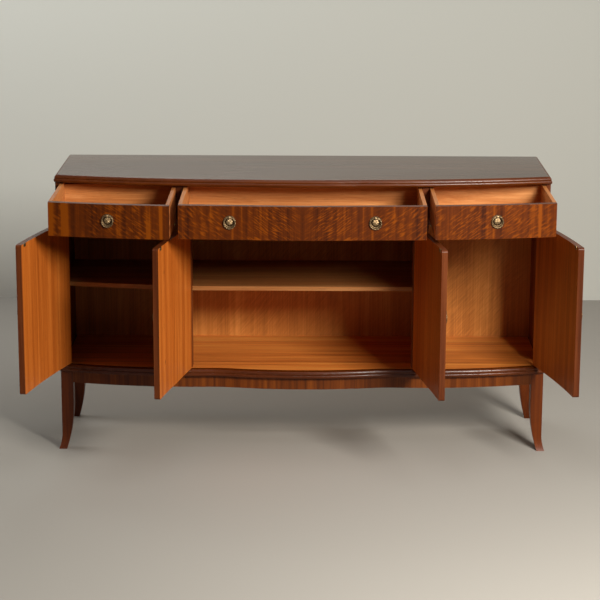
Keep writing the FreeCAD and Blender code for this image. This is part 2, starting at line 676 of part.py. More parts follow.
def turned(name, sides, profile):
    """A many-sided solid of revolution; the profile is pairs of radius and height, outwards and up."""
    rings = []
    for radius, height in profile:
        turns = [2 * math.pi * step / sides for step in range(sides)]
        rings.append([FreeCAD.Vector(radius * math.cos(t), radius * math.sin(t), height) for t in turns])
    faces = []
    for low, high in zip(rings, rings[1:] + rings[:1]):
        for step in range(sides):
            after = (step + 1) % sides
            corners = (low[step], low[after], high[after], high[step])
            ring_corners = [c for i, c in enumerate(corners) if not c.isEqual(corners[i - 1], 0)]
            if len(ring_corners) > 2:
                faces.append(Part.Face(Part.makePolygon(ring_corners + ring_corners[:1])))
    made = doc.addObject("Part::Feature", name)
    made.Shape = Part.makeSolid(Part.makeShell(faces)).removeSplitter()
    return made


def prism(name, radius, length, x, y, z):
    """An upright eight-sided bar, all sizes formulas."""
    made = doc.addObject("Part::Prism", name)
    bind(made, Polygon="eye_sides", Circumradius=radius, Height=length)
    bind(made, Placement__Base__x=x, Placement__Base__y=y, Placement__Base__z=z)
    return made


def upright(name, source):
    """A fitting drawn lying on its back, stood up to face the front."""
    made = doc.addObject("Part::Compound", name)
    made.Links = [source]
    made.Placement.Rotation = FreeCAD.Rotation(AXIS_X, 90)
    return made


RING_OUT = "plate_thick + ring_gap + ring_bar"
RING_TOP = "ring_radius - ring_drop"
EYE = "(ring_bar + eye_clearance)"
LUG_HALF = f"({EYE} + lug_wall)"
thick, edge = number("plate_thick"), number("plate_edge")
rim, bevel = number("plate_radius"), number("plate_bevel")
rise, foot = number("boss_height"), number("boss_radius")
shoulder, crown = number("boss_shoulder"), number("boss_crown")
plate = turned("plate", COUNTS["plate_sides"],
               ((0, 0), (rim, 0), (rim, edge), (rim - bevel, thick), (0, thick)))
boss = turned("boss", COUNTS["boss_sides"],
              ((0, thick), (foot, thick), (shoulder, thick + rise / 2), (crown, thick + rise),
               (0, thick + rise)))
lug_block = box("lug_block", "-lug_width / 2", "lug_width / 2", f"{RING_TOP} - {LUG_HALF}",
                f"{RING_TOP} + {LUG_HALF}", "plate_thick / 2", f"{RING_OUT} + {LUG_HALF}")
eye = prism("lug_eye", f"{EYE} / cos(180 / eye_sides)", "lug_width * 2", "-lug_width", RING_TOP, RING_OUT)
eye.Placement.Rotation = FreeCAD.Rotation(AXIS_Y, 90)
pull_plate = upright("pull_plate", fuse("plate_solid", [plate, boss, cut("lug", lug_block, eye)]))

hoop_radius, bar = number("ring_radius"), number("ring_bar")
bar_rise = bar * math.sqrt(3) / 2
hoop = turned("ring_hoop", COUNTS["plate_sides"],
              ((hoop_radius - bar / 2, -bar_rise), (hoop_radius + bar / 2, -bar_rise), (hoop_radius + bar, 0),
               (hoop_radius + bar / 2, bar_rise), (hoop_radius - bar / 2, bar_rise), (hoop_radius - bar, 0)))
bind(hoop, Placement__Base__y="-ring_drop", Placement__Base__z=RING_OUT)
ring = upright("ring", hoop)


def on_face(name, source, sign, x, z):
    """The same fitting let into the face at x and z, square to the curve there."""
    made = doc.addObject("Part::Compound", name)
    made.Links = [source]
    made.Placement.Rotation = FreeCAD.Rotation(AXIS_Z, 1)
    if x.startswith("inner_free"):
        centre_x, centre_y, radius = "0", "face_swell_y", "face_swell_radius"
    else:
        centre_x, centre_y, radius = "face_side_centre_x", "face_side_y", "face_side_radius"
    lean = f"(({x}) - {centre_x}) / {radius}"
    seat = f"({radius} - plate_seat)"
    hand = "" if sign > 0 else "-"
    bind(made, Placement__Rotation__Angle=f"{hand}asin({lean})",
         Placement__Base__x=f"{hand}({centre_x} + {seat} * {lean})",
         Placement__Base__y=f"{centre_y} - {seat} * sqrt(1 - ({lean}) ^ 2)",
         Placement__Base__z=z)
    return made


# Doors: a curved leaf, two butt hinges, a strike and a ring pull each

DOORS = (("outer_left", -1, "outer_free", "outer_edge", "outer_left_angle"),
         ("inner_left", -1, "inner_free", "inner_edge", "inner_left_angle"),
         ("inner_right", 1, "inner_free", "inner_edge", "inner_right_angle"),
         ("outer_right", 1, "outer_free", "outer_edge", "outer_right_angle"))


def swung(label, source, sign, edge, angle):
    """A shut door's piece, turned about the hinge pin to where the door stands."""
    made = doc.addObject("Part::Compound", f"{label}_swung")
    made.Links = [source]
    turn = angle if sign > 0 else f"-{angle}"
    pin_x = f"({edge} + hinge_gap / 2)" if sign > 0 else f"(-({edge} + hinge_gap / 2))"
    pin_y = f"({face_at(edge + ' + hinge_gap / 2')} - pin_standoff)"
    made.Placement.Rotation = FreeCAD.Rotation(AXIS_Z, 1)
    bind(made, Placement__Rotation__Angle=turn,
         Placement__Base__x=f"{pin_x} - {pin_x} * cos({turn}) + {pin_y} * sin({turn})",
         Placement__Base__y=f"{pin_y} - {pin_x} * sin({turn}) - {pin_y} * cos({turn})")
    return node(label, made)


def hinge(name, sign, edge, low):
    """One butt hinge: the door's half with two knuckles and the pin, and the carcase's half."""
    pin_x = f"({edge} + hinge_gap / 2)"
    pin_y = f"({face_at(pin_x)} - pin_standoff)"
    leaf_y = f"({face_at(pin_x)} + leaf_inset)"
    leaf_end = f"({face_at(pin_x)} + leaf_depth)"
    third = "hinge_length / 3"
    middle_low = f"{low} + {third}"
    middle_high = f"{low} + {third} * 2"
    high = f"{low} + hinge_length"
    signed_pin = pin_x if sign > 0 else f"-{pin_x}"
    door_in, door_out = edge, f"{edge} + leaf_thick"
    case_in, case_out = f"{edge} + hinge_gap - leaf_thick", f"{edge} + hinge_gap"
    door_pieces = [side_box(f"{name}_door_leaf", sign, door_in, door_out, leaf_y, leaf_end, low, high),
                   prism(f"{name}_pin", "pin_radius", "hinge_length", signed_pin, pin_y, low)]
    for place, z0, z1 in (("low", low, middle_low), ("high", middle_high, high)):
        door_pieces.append(side_box(f"{name}_door_tab_{place}", sign, door_in, door_out, pin_y,
                                    f"{leaf_y} + leaf_thick", z0, z1))
        door_pieces.append(prism(f"{name}_door_knuckle_{place}", "knuckle_radius", f"({z1}) - ({z0})",
                                 signed_pin, pin_y, z0))
    z0, z1 = f"{middle_low} + knuckle_gap", f"{middle_high} - knuckle_gap"
    case_pieces = [side_box(f"{name}_case_leaf", sign, case_in, case_out, leaf_y, leaf_end, low, high),
                   side_box(f"{name}_case_tab", sign, case_in, case_out, pin_y,
                            f"{leaf_y} + leaf_thick", z0, z1),
                   prism(f"{name}_case_knuckle", "knuckle_radius", f"({z1}) - ({z0})", signed_pin, pin_y,
                         z0)]
    bore = prism(f"{name}_bore", "pin_radius + pin_clearance", "hinge_length", signed_pin, pin_y, low)
    door_half = fuse(f"{name}_door_half", door_pieces)
    return door_half, cut(f"{name}_case_half", fuse(f"{name}_case_solid", case_pieces), bore)


case_halves, catches = [], []
for door, sign, free, edge, angle in DOORS:
    blank = side_box(f"{door}_blank", sign, free, edge, FRONT_LIMIT, "0", "door_low", "door_high")
    curved = cut(f"{door}_curved", common(f"{door}_face", blank, face_zone), door_zone)
    handle_x = f"{free} + door_handle_inset"
    plate_here = on_face(f"{door}_plate", pull_plate, sign, handle_x, "door_handle_z")
    ring_here = on_face(f"{door}_ring", ring, sign, handle_x, "door_handle_z")
    door_halves = []
    for place, low in (("low", "door_low + hinge_inset"), ("high", "door_high - hinge_inset - hinge_length")):
        door_half, case_half = hinge(f"{door}_hinge_{place}", sign, edge, low)
        door_halves.append(door_half)
        case_halves.append(case_half)
    catch_x0, catch_x1 = f"{free} + catch_inset", f"{free} + catch_inset + catch_width"
    catch_y1 = f"{face_at(catch_x0)} + door_thick + catch_depth" if "outer" in door else \
        "face_y + door_thick + catch_depth"
    strike_blank = side_box(f"{door}_strike_blank", sign, catch_x0, catch_x1, FRONT_LIMIT, catch_y1,
                            "door_high - catch_height", "door_high")
    strike = cut(f"{door}_strike", common(f"{door}_strike_face", strike_blank, door_zone), strike_zone)
    catch_blank = side_box(f"{door}_catch_blank", sign, catch_x0, catch_x1, FRONT_LIMIT, catch_y1,
                           "rail_low - catch_height", "rail_low")
    catches.append(common(f"{door}_catch", catch_blank, catch_zone))
    swung(f"door_{door}", cut(f"{door}_panel", curved, plate_here), sign, edge, angle)
    swung(f"door_{door}_fittings", group(f"{door}_fittings", door_halves + [strike, plate_here]),
          sign, edge, angle)
    swung(f"door_{door}_ring", ring_here, sign, edge, angle)
node("hinge_leaves", group("case_halves", case_halves))
node("door_catches", group("catches", catches))


# Drawers: a curved front lapped over dovetailed sides, a back, and a bottom in grooves

DRAWERS = (("left", -1, "partition_out + drawer_side_gap", "end_in - drawer_end_gap", "left_pull",
            ((-1, "side_handle_x"),)),
           ("centre", 0, "partition_x - drawer_side_gap", "partition_x - drawer_side_gap", "centre_pull",
            ((-1, "centre_handle_x"), (1, "centre_handle_x"))),
           ("right", 1, "partition_out + drawer_side_gap", "end_in - drawer_end_gap", "right_pull",
            ((1, "side_handle_x"),)))


def pulled(label, source, pull):
    """A shut drawer's piece, slid forward to where the drawer stands."""
    made = doc.addObject("Part::Compound", f"{label}_pulled")
    made.Links = [source]
    bind(made, Placement__Base__y=f"-{pull}")
    return node(label, made)


def dovetailed_side(name, x0, y_front):
    """A drawer side whose tails stop short of the face, at the lap."""
    blank = box(f"{name}_blank", x0, f"{x0} + side_thick", FRONT_LIMIT, "drawer_rear_y", "drawer_low",
                "drawer_top")
    board = common(f"{name}_board", blank, lap_zone)
    pitch = "(drawer_top - drawer_low) / (pin_count + 1)"
    pins = []
    for place in range(int(number("pin_count")) + 2):
        pin = doc.addObject("Part::Wedge", f"{name}_pin_{place}")
        middle = f"drawer_low + {pitch} * {place}"
        bind(pin, Xmin=x0, Xmax=f"{x0} + side_thick", X2min=x0, X2max=f"{x0} + side_thick",
             Ymin=f"{y_front}", Ymax=f"{y_front} + front_thick",
             Zmin=f"{middle} - pin_tip / 2", Zmax=f"{middle} + pin_tip / 2",
             Z2min=f"{middle} - pin_root / 2", Z2max=f"{middle} + pin_root / 2")
        pins.append(pin)
    sockets = cut(f"{name}_sockets", fuse(f"{name}_pins", pins), front_zone)
    return cut(f"{name}_tailed", board, sockets)


for drawer, hand, near, far, pull, handles in DRAWERS:
    if hand < 0:
        x0, x1 = f"-({far})", f"-({near})"
    elif hand > 0:
        x0, x1 = near, far
    else:
        x0, x1 = f"-({near})", far
    if hand == 0:
        fronts_y = (face_at(far), face_at(far))
    elif hand > 0:
        fronts_y = (face_at(near), face_at(far + " - side_thick"))
    else:
        fronts_y = (face_at(far + " - side_thick"), face_at(near))
    left_side = dovetailed_side(f"{drawer}_side_a", x0, fronts_y[0])
    right_side = dovetailed_side(f"{drawer}_side_b", f"{x1} - side_thick", fronts_y[1])
    floor_low, floor_high = "drawer_low + bottom_rise", "drawer_low + bottom_rise + bottom_thick"
    floor_blank = box(f"{drawer}_floor_blank", f"{x0} + side_thick - groove",
                      f"{x1} - side_thick + groove", FRONT_LIMIT, "drawer_rear_y", floor_low,
                      floor_high)
    bottom = common(f"{drawer}_floor", floor_blank, panel_edge_zone)
    back = box(f"{drawer}_back", f"{x0} + side_thick", f"{x1} - side_thick",
               "drawer_rear_y - drawer_back_thick", "drawer_rear_y", floor_high,
               "drawer_top - drawer_back_drop")
    front_blank = box(f"{drawer}_front_blank", x0, x1, FRONT_LIMIT, "0", "drawer_low", "drawer_top")
    curved = cut(f"{drawer}_front_curved", common(f"{drawer}_front_face", front_blank, face_zone),
                 front_zone)
    plates = [on_face(f"{drawer}_plate_{i}", pull_plate, sign, x, "handle_drawer_z")
              for i, (sign, x) in enumerate(handles)]
    waste = fuse(f"{drawer}_front_waste", [left_side, right_side, bottom] + plates)
    pulled(f"drawer_{drawer}_front", cut(f"{drawer}_front", curved, waste), pull)
    grooved = [cut(f"{drawer}_{name}_grooved", board, bottom)
               for name, board in (("a", left_side), ("b", right_side))]
    pulled(f"drawer_{drawer}_sides", group(f"{drawer}_sides", grooved), pull)
    pulled(f"drawer_{drawer}_back", back, pull)
    pulled(f"drawer_{drawer}_bottom", bottom, pull)
    pulled(f"drawer_{drawer}_pull_plates", group(f"{drawer}_plates", plates), pull)
    for i, (sign, x) in enumerate(handles):
        place = drawer if len(handles) == 1 else f"{drawer}_{SIDES[i][0]}"
        ring_here = on_face(f"{drawer}_ring_{i}", ring, sign, x, "handle_drawer_z")
        pulled(f"drawer_{place}_ring", ring_here, pull)


# Check everything, then write one file for each sub-part

doc.recompute()
broken = [f"{item.Name} {item.State}" for item in doc.Objects
          if "Invalid" in item.State or "Error" in item.State]
if broken:
    raise RuntimeError("objects that failed: " + "; ".join(broken))
for item in nodes:
    if item.Shape.isNull() or not item.Shape.isValid() or not item.Shape.Solids:
        raise RuntimeError(f"{item.Label} has no valid solid")
os.makedirs("parts", exist_ok=True)
for item in nodes:
    item.Shape.exportStep(f"parts/{item.Label}.step")
    print(item.Label, len(item.Shape.Solids), round(item.Shape.Volume))
print(len(nodes), "sub-parts written")
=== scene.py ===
# %% [markdown]
# # A serpentine sideboard, dressed for its picture
# The joinery comes from the imported model, in its place and in metres. This notebook gives it what
# the workshop adds last: moulded edges, eased arrises, veneer, polish and brass.

import json
import math

import bmesh
import bpy
from mathutils import Matrix, Vector


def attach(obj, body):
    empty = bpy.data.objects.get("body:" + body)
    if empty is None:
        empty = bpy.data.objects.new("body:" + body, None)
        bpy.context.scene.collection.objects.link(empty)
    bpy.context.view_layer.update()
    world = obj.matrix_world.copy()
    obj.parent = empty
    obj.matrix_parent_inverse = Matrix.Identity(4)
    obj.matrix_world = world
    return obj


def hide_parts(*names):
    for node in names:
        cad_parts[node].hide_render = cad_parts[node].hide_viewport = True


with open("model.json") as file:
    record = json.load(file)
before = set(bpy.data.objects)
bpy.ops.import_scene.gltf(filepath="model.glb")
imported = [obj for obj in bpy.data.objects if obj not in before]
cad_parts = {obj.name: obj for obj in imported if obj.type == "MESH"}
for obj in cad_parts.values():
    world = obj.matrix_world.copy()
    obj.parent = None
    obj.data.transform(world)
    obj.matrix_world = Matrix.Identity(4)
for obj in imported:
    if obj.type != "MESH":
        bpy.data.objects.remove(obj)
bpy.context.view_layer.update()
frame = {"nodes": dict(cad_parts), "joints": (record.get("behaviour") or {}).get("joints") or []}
nodes = frame["nodes"]
joints = {joint["name"]: joint for joint in frame["joints"]}


def placed(name, data):
    """A new object with this data, standing in the scene."""
    made = bpy.data.objects.new(name, data)
    bpy.context.scene.collection.objects.link(made)
    return made


def smoothed(mesh, degrees):
    """Shade a mesh smooth, apart from edges sharper than an angle."""
    mesh.shade_smooth()
    mesh.set_sharp_from_angle(angle=math.radians(degrees))


def mesh_of(work, name):
    """What a bmesh holds, as a mesh; the bmesh is freed."""
    mesh = bpy.data.meshes.new(name)
    work.to_mesh(mesh)
    work.free()
    return mesh


# %% [markdown]
# ## The camera
# The photograph was taken from a little above the top, with a long lens, square to the front. The
# lens and the place were solved from the straight edges in the picture. Depth of field stays off,
# as the whole piece is sharp.

# %% Camera
IMAGE_SIDE = 600
FOCAL_PIXELS = 2010.2
SENSOR = 36.0
CAMERA_PLACE = (0.00953, -6.2463, 1.9509)
pitch, yaw, roll = math.radians(13.58), math.radians(-0.16), math.radians(0.23)
ahead = Vector((math.sin(yaw) * math.cos(pitch), math.cos(yaw) * math.cos(pitch), -math.sin(pitch)))
level_right = ahead.cross(Vector((0, 0, 1))).normalized()
level_up = level_right.cross(ahead)
right = level_right * math.cos(roll) + level_up * math.sin(roll)
up = level_up * math.cos(roll) - level_right * math.sin(roll)
camera = placed("camera", bpy.data.cameras.new("camera"))
camera.data.sensor_width = SENSOR
camera.data.lens = SENSOR * FOCAL_PIXELS / IMAGE_SIDE
camera.data.clip_end = 60
turn = Matrix((right, up, -ahead)).transposed().to_4x4()
camera.matrix_world = Matrix.Translation(CAMERA_PLACE) @ turn
bpy.context.scene.camera = camera
print("lens", round(camera.data.lens, 1), "mm")

# %% [markdown]
# ## Shader arithmetic
# A procedural finish is a lot of small sums on patterns. So one small class wraps a socket, and
# Python's own operators add the Math nodes. Every other node comes from one method, which takes
# the node's type, its settings and its inputs.

# %% Signals and trees
class Signal:
    """One output of a shader tree, to reckon with as if it were a number."""

    def __init__(self, tree, socket):
        self.tree = tree
        self.socket = socket

    def _with(self, operation, first, second):
        node = self.tree.nodes.new("ShaderNodeMath")
        node.operation = operation
        for place, item in zip(node.inputs, (first, second)):
            plug(item, place)
        return Signal(self.tree, node.outputs[0])

    def __add__(self, other):
        return self._with("ADD", self, other)

    def __sub__(self, other):
        return self._with("SUBTRACT", self, other)

    def __rsub__(self, other):
        return self._with("SUBTRACT", other, self)

    def __mul__(self, other):
        return self._with("MULTIPLY", self, other)


def plug(item, place):
    """Link a signal to a socket, or write a plain value there."""
    if isinstance(item, Signal):
        item.tree.links.new(item.socket, place)
    else:
        place.default_value = item


class Tree:
    """A node tree that any node can be added to."""

    def __init__(self, tree, prefix):
        self.tree = tree
        self.prefix = prefix

    def add(self, kind, settings=(), output=0, **inputs):
        """One node: its settings are set first, then its sockets are filled by name or number."""
        node = self.tree.nodes.new(kind if "Node" in kind else self.prefix + kind)
        for name, value in dict(settings).items():
            setattr(node, name, value)
        for name, value in inputs.items():
            socket = int(name[1:]) if name[0] == "_" else name.replace("_", " ")
            plug(value, node.inputs[socket])
        return Signal(self.tree, node.outputs[output])

    def split(self, vector):
        """The three parts of a vector."""
        return [self.add("SeparateXYZ", output=part, Vector=vector) for part in "XYZ"]


def rgb(*colour):
    """A colour with its alpha."""
    return (*colour, 1.0)


# %% [markdown]
# ## A finish
# A finish is one material and the few patterns that polished wood needs. Grain is noise stretched
# along the board, read through coordinates that run slowly along the grain and fast across it. A
# board that keeps its CAD mesh reads Object coordinates, turned so that its grain lies along one
# axis. A piece made here carries a vector named `grain`, which goes with the door or drawer
# however it is turned.

# %% The finish class
class Finish(Tree):
    """A named material with a Principled surface and helpers for its patterns."""

    def __init__(self, name, **plain):
        self.material = bpy.data.materials.new(name)
        self.material.use_nodes = True
        super().__init__(self.material.node_tree, "ShaderNode")
        self.skin = self.tree.nodes["Principled BSDF"]
        self.feed(**plain)

    def feed(self, **inputs):
        """Send patterns or plain values to the surface."""
        for name, value in inputs.items():
            plug(value, self.skin.inputs[name.replace("_", " ")])

    def place(self, along):
        """Coordinates in metres whose second axis runs along the grain."""
        if along == "grain":
            return self.add("Attribute", {"attribute_name": "grain"}, output="Vector")
        parts = self.split(self.add("TexCoord", output="Object"))
        across, with_grain, deep = {"x": (1, 0, 2), "y": (0, 1, 2), "z": (0, 2, 1)}[along]
        return self.add("CombineXYZ", X=parts[across], Y=parts[with_grain], Z=parts[deep])

    def noise(self, place, across, along, detail=2.0, roughness=0.5, shift=0.0):
        """Stretched noise from 0 to 1; the two numbers are how many waves there are in a metre."""
        stretched = self.add("VectorMath", {"operation": "MULTIPLY_ADD"}, _0=place,
                             _1=(across, along, across), _2=(shift, shift * 0.7, shift * 1.3))
        return self.add("TexNoise", Vector=stretched, Scale=1.0, Detail=detail, Roughness=roughness)

    def spread(self, pattern, low, high, floor=0.0, top=1.0):
        """Stretch the part of a pattern between low and high over floor to top."""
        return self.add("MapRange", {"interpolation_type": "SMOOTHSTEP"}, Value=pattern,
                        From_Min=low, From_Max=high, To_Min=floor, To_Max=top)

    def ramp(self, pattern, *stops):
        """Colours along a pattern, as pairs of place and colour."""
        colours = self.add("ValToRGB", Fac=pattern)
        elements = colours.socket.node.color_ramp.elements
        while len(elements) < len(stops):
            elements.new(0.5)
        for element, (place, colour) in zip(elements, stops):
            element.position = place
            element.color = rgb(*colour)
        return colours

    def blend(self, share, first, second):
        """Two colours mixed by a share."""
        return self.add("Mix", {"data_type": "RGBA"}, output=2, _0=share, _6=first, _7=second)

    def relief(self, height, depth):
        """Bump whose full swing is depth metres."""
        self.feed(Normal=self.add("Bump", Height=height, Distance=depth))


# %% [markdown]
# ## Straight-grained mahogany
# Legs, rails, door edges and linings are solid wood or plain veneer: fine lines that run the length
# of the board, broader bands under them, and short dark pores. Three noises at three widths give
# that, and a slow one sways them. One ramp colours them, so each wood is only three colours and a
# gloss. A knot is a small oval, dark where the distance from its middle is short.

# %% Straight grain
KNOT_OVAL = 0.55


def straight_grain(name, along, dark, middle, light, gloss, band=24.0, line=210.0, contrast=1.0,
                   shine=0.25, sway=0.02, knots=()):
    """Polished or waxed wood with plain grain, and pin knots at given places in it."""
    wood = Finish(name, IOR=1.5, Specular_IOR_Level=shine)
    place = wood.place(along)
    swaying = wood.noise(place, 9.0, 1.6, 1.0)
    bent = wood.add("VectorMath", _0=place, _1=wood.add("CombineXYZ", X=(swaying - 0.5) * sway))
    bands = wood.noise(bent, band, 0.9, 2.0)
    lines = wood.noise(bent, line, 3.5, 3.0, 0.6)
    pores = wood.spread(wood.noise(place, 900.0, 36.0, 1.0), 0.62, 0.75)
    tone = (bands - 0.5) * (1.5 * contrast) + (lines - 0.5) * (1.1 * contrast) + 0.5
    colour = wood.ramp(tone, (0.12, dark), (0.5, middle), (0.88, light))
    colour = wood.blend(pores * 0.45, colour, rgb(*(c * 0.45 for c in dark)))
    for knot_across, knot_along in knots:
        reach = wood.add("VectorMath", {"operation": "MULTIPLY_ADD"}, _0=place,
                         _1=(1.0, KNOT_OVAL, 0.0), _2=(-knot_across, -KNOT_OVAL * knot_along, 0.0))
        away = wood.add("VectorMath", {"operation": "LENGTH"}, output="Value", _0=reach)
        knot = wood.spread(away, 0.0015, 0.0045, 0.85, 0.0)
        colour = wood.blend(knot, colour, rgb(*(c * 0.4 for c in dark)))
    wood.feed(Base_Color=colour, Roughness=(lines - 0.5) * 0.14 + gloss + pores * 0.08)
    wood.relief(lines * 0.6 - pores, 0.00012)
    return wood.material


# %% [markdown]
# ## Figured veneer
# The drawer fronts and doors are faced with ribbon mahogany. Narrow ribbons stand upright, and
# where the fibres lean in and out, short bright flecks cross them at a slant. The leaves are laid
# as a pair opened like a book, so the distance from the middle is used without its sign and the
# flecks climb towards it on one side and away from it on the other. A slower noise decides where
# they fade.

# %% Figured veneer
FLECK_SLANT = math.radians(33)
VENEER_GLOSS = 0.36


def figured_veneer(name, dark, middle, light, shift=0.0):
    """Ribbon veneer with slanting flecks; the grain runs up the piece."""
    wood = Finish(name, IOR=1.5, Specular_IOR_Level=0.18)
    across, along, deep = wood.split(wood.place("grain"))
    across = wood.add("Math", {"operation": "ABSOLUTE"}, _0=across)
    place = wood.add("CombineXYZ", X=across, Y=along, Z=deep)
    lean, rise = math.cos(FLECK_SLANT), math.sin(FLECK_SLANT)
    sway = wood.noise(place, 14.0, 9.0, 1.0, shift=shift) * 0.008
    turned = wood.add("CombineXYZ", X=along * lean - across * rise + sway,
                      Y=across * lean + along * rise)
    flecks = wood.spread(wood.noise(turned, 330.0, 34.0, 1.0, shift=shift), 0.49, 0.64)
    ribbons = wood.noise(place, 58.0, 0.8, 1.0, 0.6, shift=shift)
    bands = wood.noise(place, 11.0, 0.4, 1.0, shift=shift + 5.0)
    hairs = wood.noise(place, 260.0, 5.0, 2.0, 0.6, shift=shift)
    patches = wood.noise(place, 24.0, 5.0, 1.0, shift=shift + 7.7)
    carries = wood.spread(patches, 0.32, 0.56, 0.25, 1.0) * wood.spread(across, 0.0, 0.06, 0.4, 1.0)
    streaks = wood.spread(ribbons, 0.58, 0.7)
    tone = ((ribbons - 0.5) * 1.2 + streaks * 0.42 + (bands - 0.5) * 0.5 + (hairs - 0.5) * 0.5
            + 0.36 + flecks * carries * 0.55)
    colour = wood.ramp(tone, (0.08, dark), (0.5, middle), (0.95, light))
    wood.feed(Base_Color=colour, Roughness=(hairs - 0.5) * 0.10 + VENEER_GLOSS)
    wood.relief(hairs, 0.00006)
    return wood.material


# %% [markdown]
# ## The other woods
# The top is the darkest and glossiest board, and its thin coat mirrors the pale room. The floor of
# the cupboards is made of narrow lengths laid side by side, each with its own tone: the coordinate
# across the boards is cut into steps, and each step picks a number of its own. The back is one
# sheet with quiet upright bands under a fine slanting fleck that comes and goes.

# %% Top, cupboard floor and back
FLOOR_LENGTH_WIDTH = 0.052


def polished_top(name):
    """Dark full-gloss mahogany with a quiet lengthwise grain."""
    wood = Finish(name, IOR=1.5, Coat_Weight=0.12, Coat_Roughness=0.1)
    place = wood.place("grain")
    bands = wood.noise(place, 16.0, 0.55, 2.0)
    lines = wood.noise(place, 150.0, 2.2, 3.0, 0.6)
    cloud = wood.noise(place, 3.0, 1.5, 1.0, shift=4.0)
    tone = (bands - 0.5) * 1.3 + (lines - 0.5) + 0.5
    colour = wood.ramp(tone, (0.1, (0.036, 0.013, 0.006)), (0.5, (0.068, 0.026, 0.012)),
                       (0.9, (0.108, 0.046, 0.021)))
    wood.feed(Base_Color=colour, Roughness=(cloud - 0.5) * 0.12 + (lines - 0.5) * 0.05 + 0.27)
    wood.relief(lines, 0.00004)
    return wood.material


def laid_floor(name):
    """Narrow lengths side by side, with a hairline between them."""
    wood = Finish(name, IOR=1.48)
    across, along, deep = wood.split(wood.place("grain"))
    count = across * (1 / FLOOR_LENGTH_WIDTH)
    board = wood.add("Math", {"operation": "FLOOR"}, _0=count)
    lot = wood.add("TexWhiteNoise", {"noise_dimensions": "1D"}, W=board)
    edge = wood.add("Math", {"operation": "FRACT"}, _0=count)
    seam = wood.spread(edge, 0.0, 0.035, 1.0, 0.0)
    slid = wood.add("CombineXYZ", X=across, Y=along + lot * 3.0, Z=deep)
    bands = wood.noise(slid, 46.0, 1.3, 2.0)
    lines = wood.noise(slid, 260.0, 4.5, 3.0, 0.6)
    tone = (bands - 0.5) * 0.8 + (lines - 0.5) * 0.9 + lot * 0.28 + 0.36
    colour = wood.ramp(tone, (0.1, (0.379, 0.0982, 0.0153)), (0.5, (0.759, 0.236, 0.0392)),
                       (0.9, (0.842, 0.424, 0.0866)))
    wood.feed(Base_Color=wood.blend(seam * 0.7, colour, rgb(0.08, 0.02, 0.006)),
              Roughness=(lines - 0.5) * 0.12 + 0.42)
    wood.relief(lines * 0.3 - seam, 0.0002)
    return wood.material


def flecked_back(name):
    """Upright bands under a slanting fleck."""
    wood = Finish(name, IOR=1.48, Specular_IOR_Level=0.3)
    place = wood.place("z")
    across, along, _ = wood.split(place)
    wander = wood.noise(place, 2.6, 1.4, 1.0)
    leaning = wood.add("CombineXYZ", X=across - along * 0.85 + wander * 0.12, Y=along)
    bands = wood.noise(place, 17.0, 0.6, 2.0)
    flecks = wood.noise(leaning, 210.0, 26.0, 2.0)
    hairs = wood.noise(place, 240.0, 4.0, 2.0)
    figured = wood.spread(wood.noise(place, 3.0, 2.0, 1.0, shift=2.0), 0.35, 0.62, 0.15, 1.0)
    tone = (bands - 0.5) * 0.8 + (hairs - 0.5) * 0.6 + (flecks - 0.5) * figured * 0.7 + 0.5
    colour = wood.ramp(tone, (0.1, (0.355, 0.119, 0.0204)), (0.5, (0.616, 0.226, 0.0427)),
                       (0.9, (0.849, 0.376, 0.0869)))
    wood.feed(Base_Color=colour, Roughness=(hairs - 0.5) * 0.1 + 0.48)
    wood.relief(hairs, 0.00008)
    return wood.material


# %% [markdown]
# ## Brass
# The pulls are cast brass that has gone brown: bright only where fingers rub the high places. They
# carry a number named `wear`, 1 on a crest and 0 in a hollow, and a slow noise frays its edge.
# Hinges and catches have a plainer, duller brass.

# %% Brass
def old_brass(name, bright, tarnish, gloss, worn=True):
    """Brass with tarnish in its hollows."""
    metal = Finish(name, Metallic=1.0)
    place = metal.add("TexCoord", output="Object")
    mottle = metal.noise(place, 260.0, 260.0, 3.0, 0.6)
    grit = metal.noise(place, 1500.0, 1500.0, 2.0)
    share = (mottle - 0.5) * 0.9 + (grit - 0.5) * 0.3
    if worn:
        wear = metal.add("Attribute", {"attribute_name": "wear"}, output="Fac")
        share = share + wear * 0.85 + 0.02
    else:
        share = share + 0.5
    share = metal.spread(share, 0.15, 0.85)
    metal.feed(Base_Color=metal.blend(share, rgb(*tarnish), rgb(*bright)),
               Roughness=share * -0.16 + gloss)
    metal.relief(grit, 0.00003)
    return metal.material


# %% The workshop's finishes
VENEER_TONES = ((0.0405, 0.00733, 0.0008), (0.109, 0.0207, 0.0008), (0.216, 0.0483, 0.00129))
fronts_veneer = figured_veneer("fronts_veneer", *VENEER_TONES)
doors_veneer = figured_veneer("doors_veneer", *VENEER_TONES, shift=5.3)
edge_wood = straight_grain("edge_wood", "grain", (0.055, 0.012, 0.003), (0.098, 0.022, 0.005),
                           (0.16, 0.042, 0.011), 0.36, shine=0.18)
LINING_TONES = ((0.338, 0.0772, 0.00847), (0.485, 0.123, 0.0151), (0.619, 0.187, 0.0291))
KNOTS = ((0.298, 0.378), (0.302, 0.651))
door_lining, knotty_lining = (
    straight_grain(name, "grain", *LINING_TONES, 0.40, band=44.0, line=400.0, knots=knots)
    for name, knots in (("door_lining", ()), ("knotty_lining", KNOTS)))
leg_wood = straight_grain("leg_wood", "z", (0.0646, 0.0113, 0.00132), (0.113, 0.0217, 0.00243),
                          (0.174, 0.0368, 0.00419), 0.34, line=160.0)
rail_wood = straight_grain("rail_wood", "x", (0.075, 0.02, 0.008), (0.13, 0.036, 0.014),
                           (0.2, 0.062, 0.025), 0.36)
moulding_wood = straight_grain("moulding_wood", "x", (0.0497, 0.00916, 0.0008),
                               (0.0869, 0.0177, 0.00129), (0.138, 0.0314, 0.00234), 0.27,
                               contrast=0.8, shine=0.28)
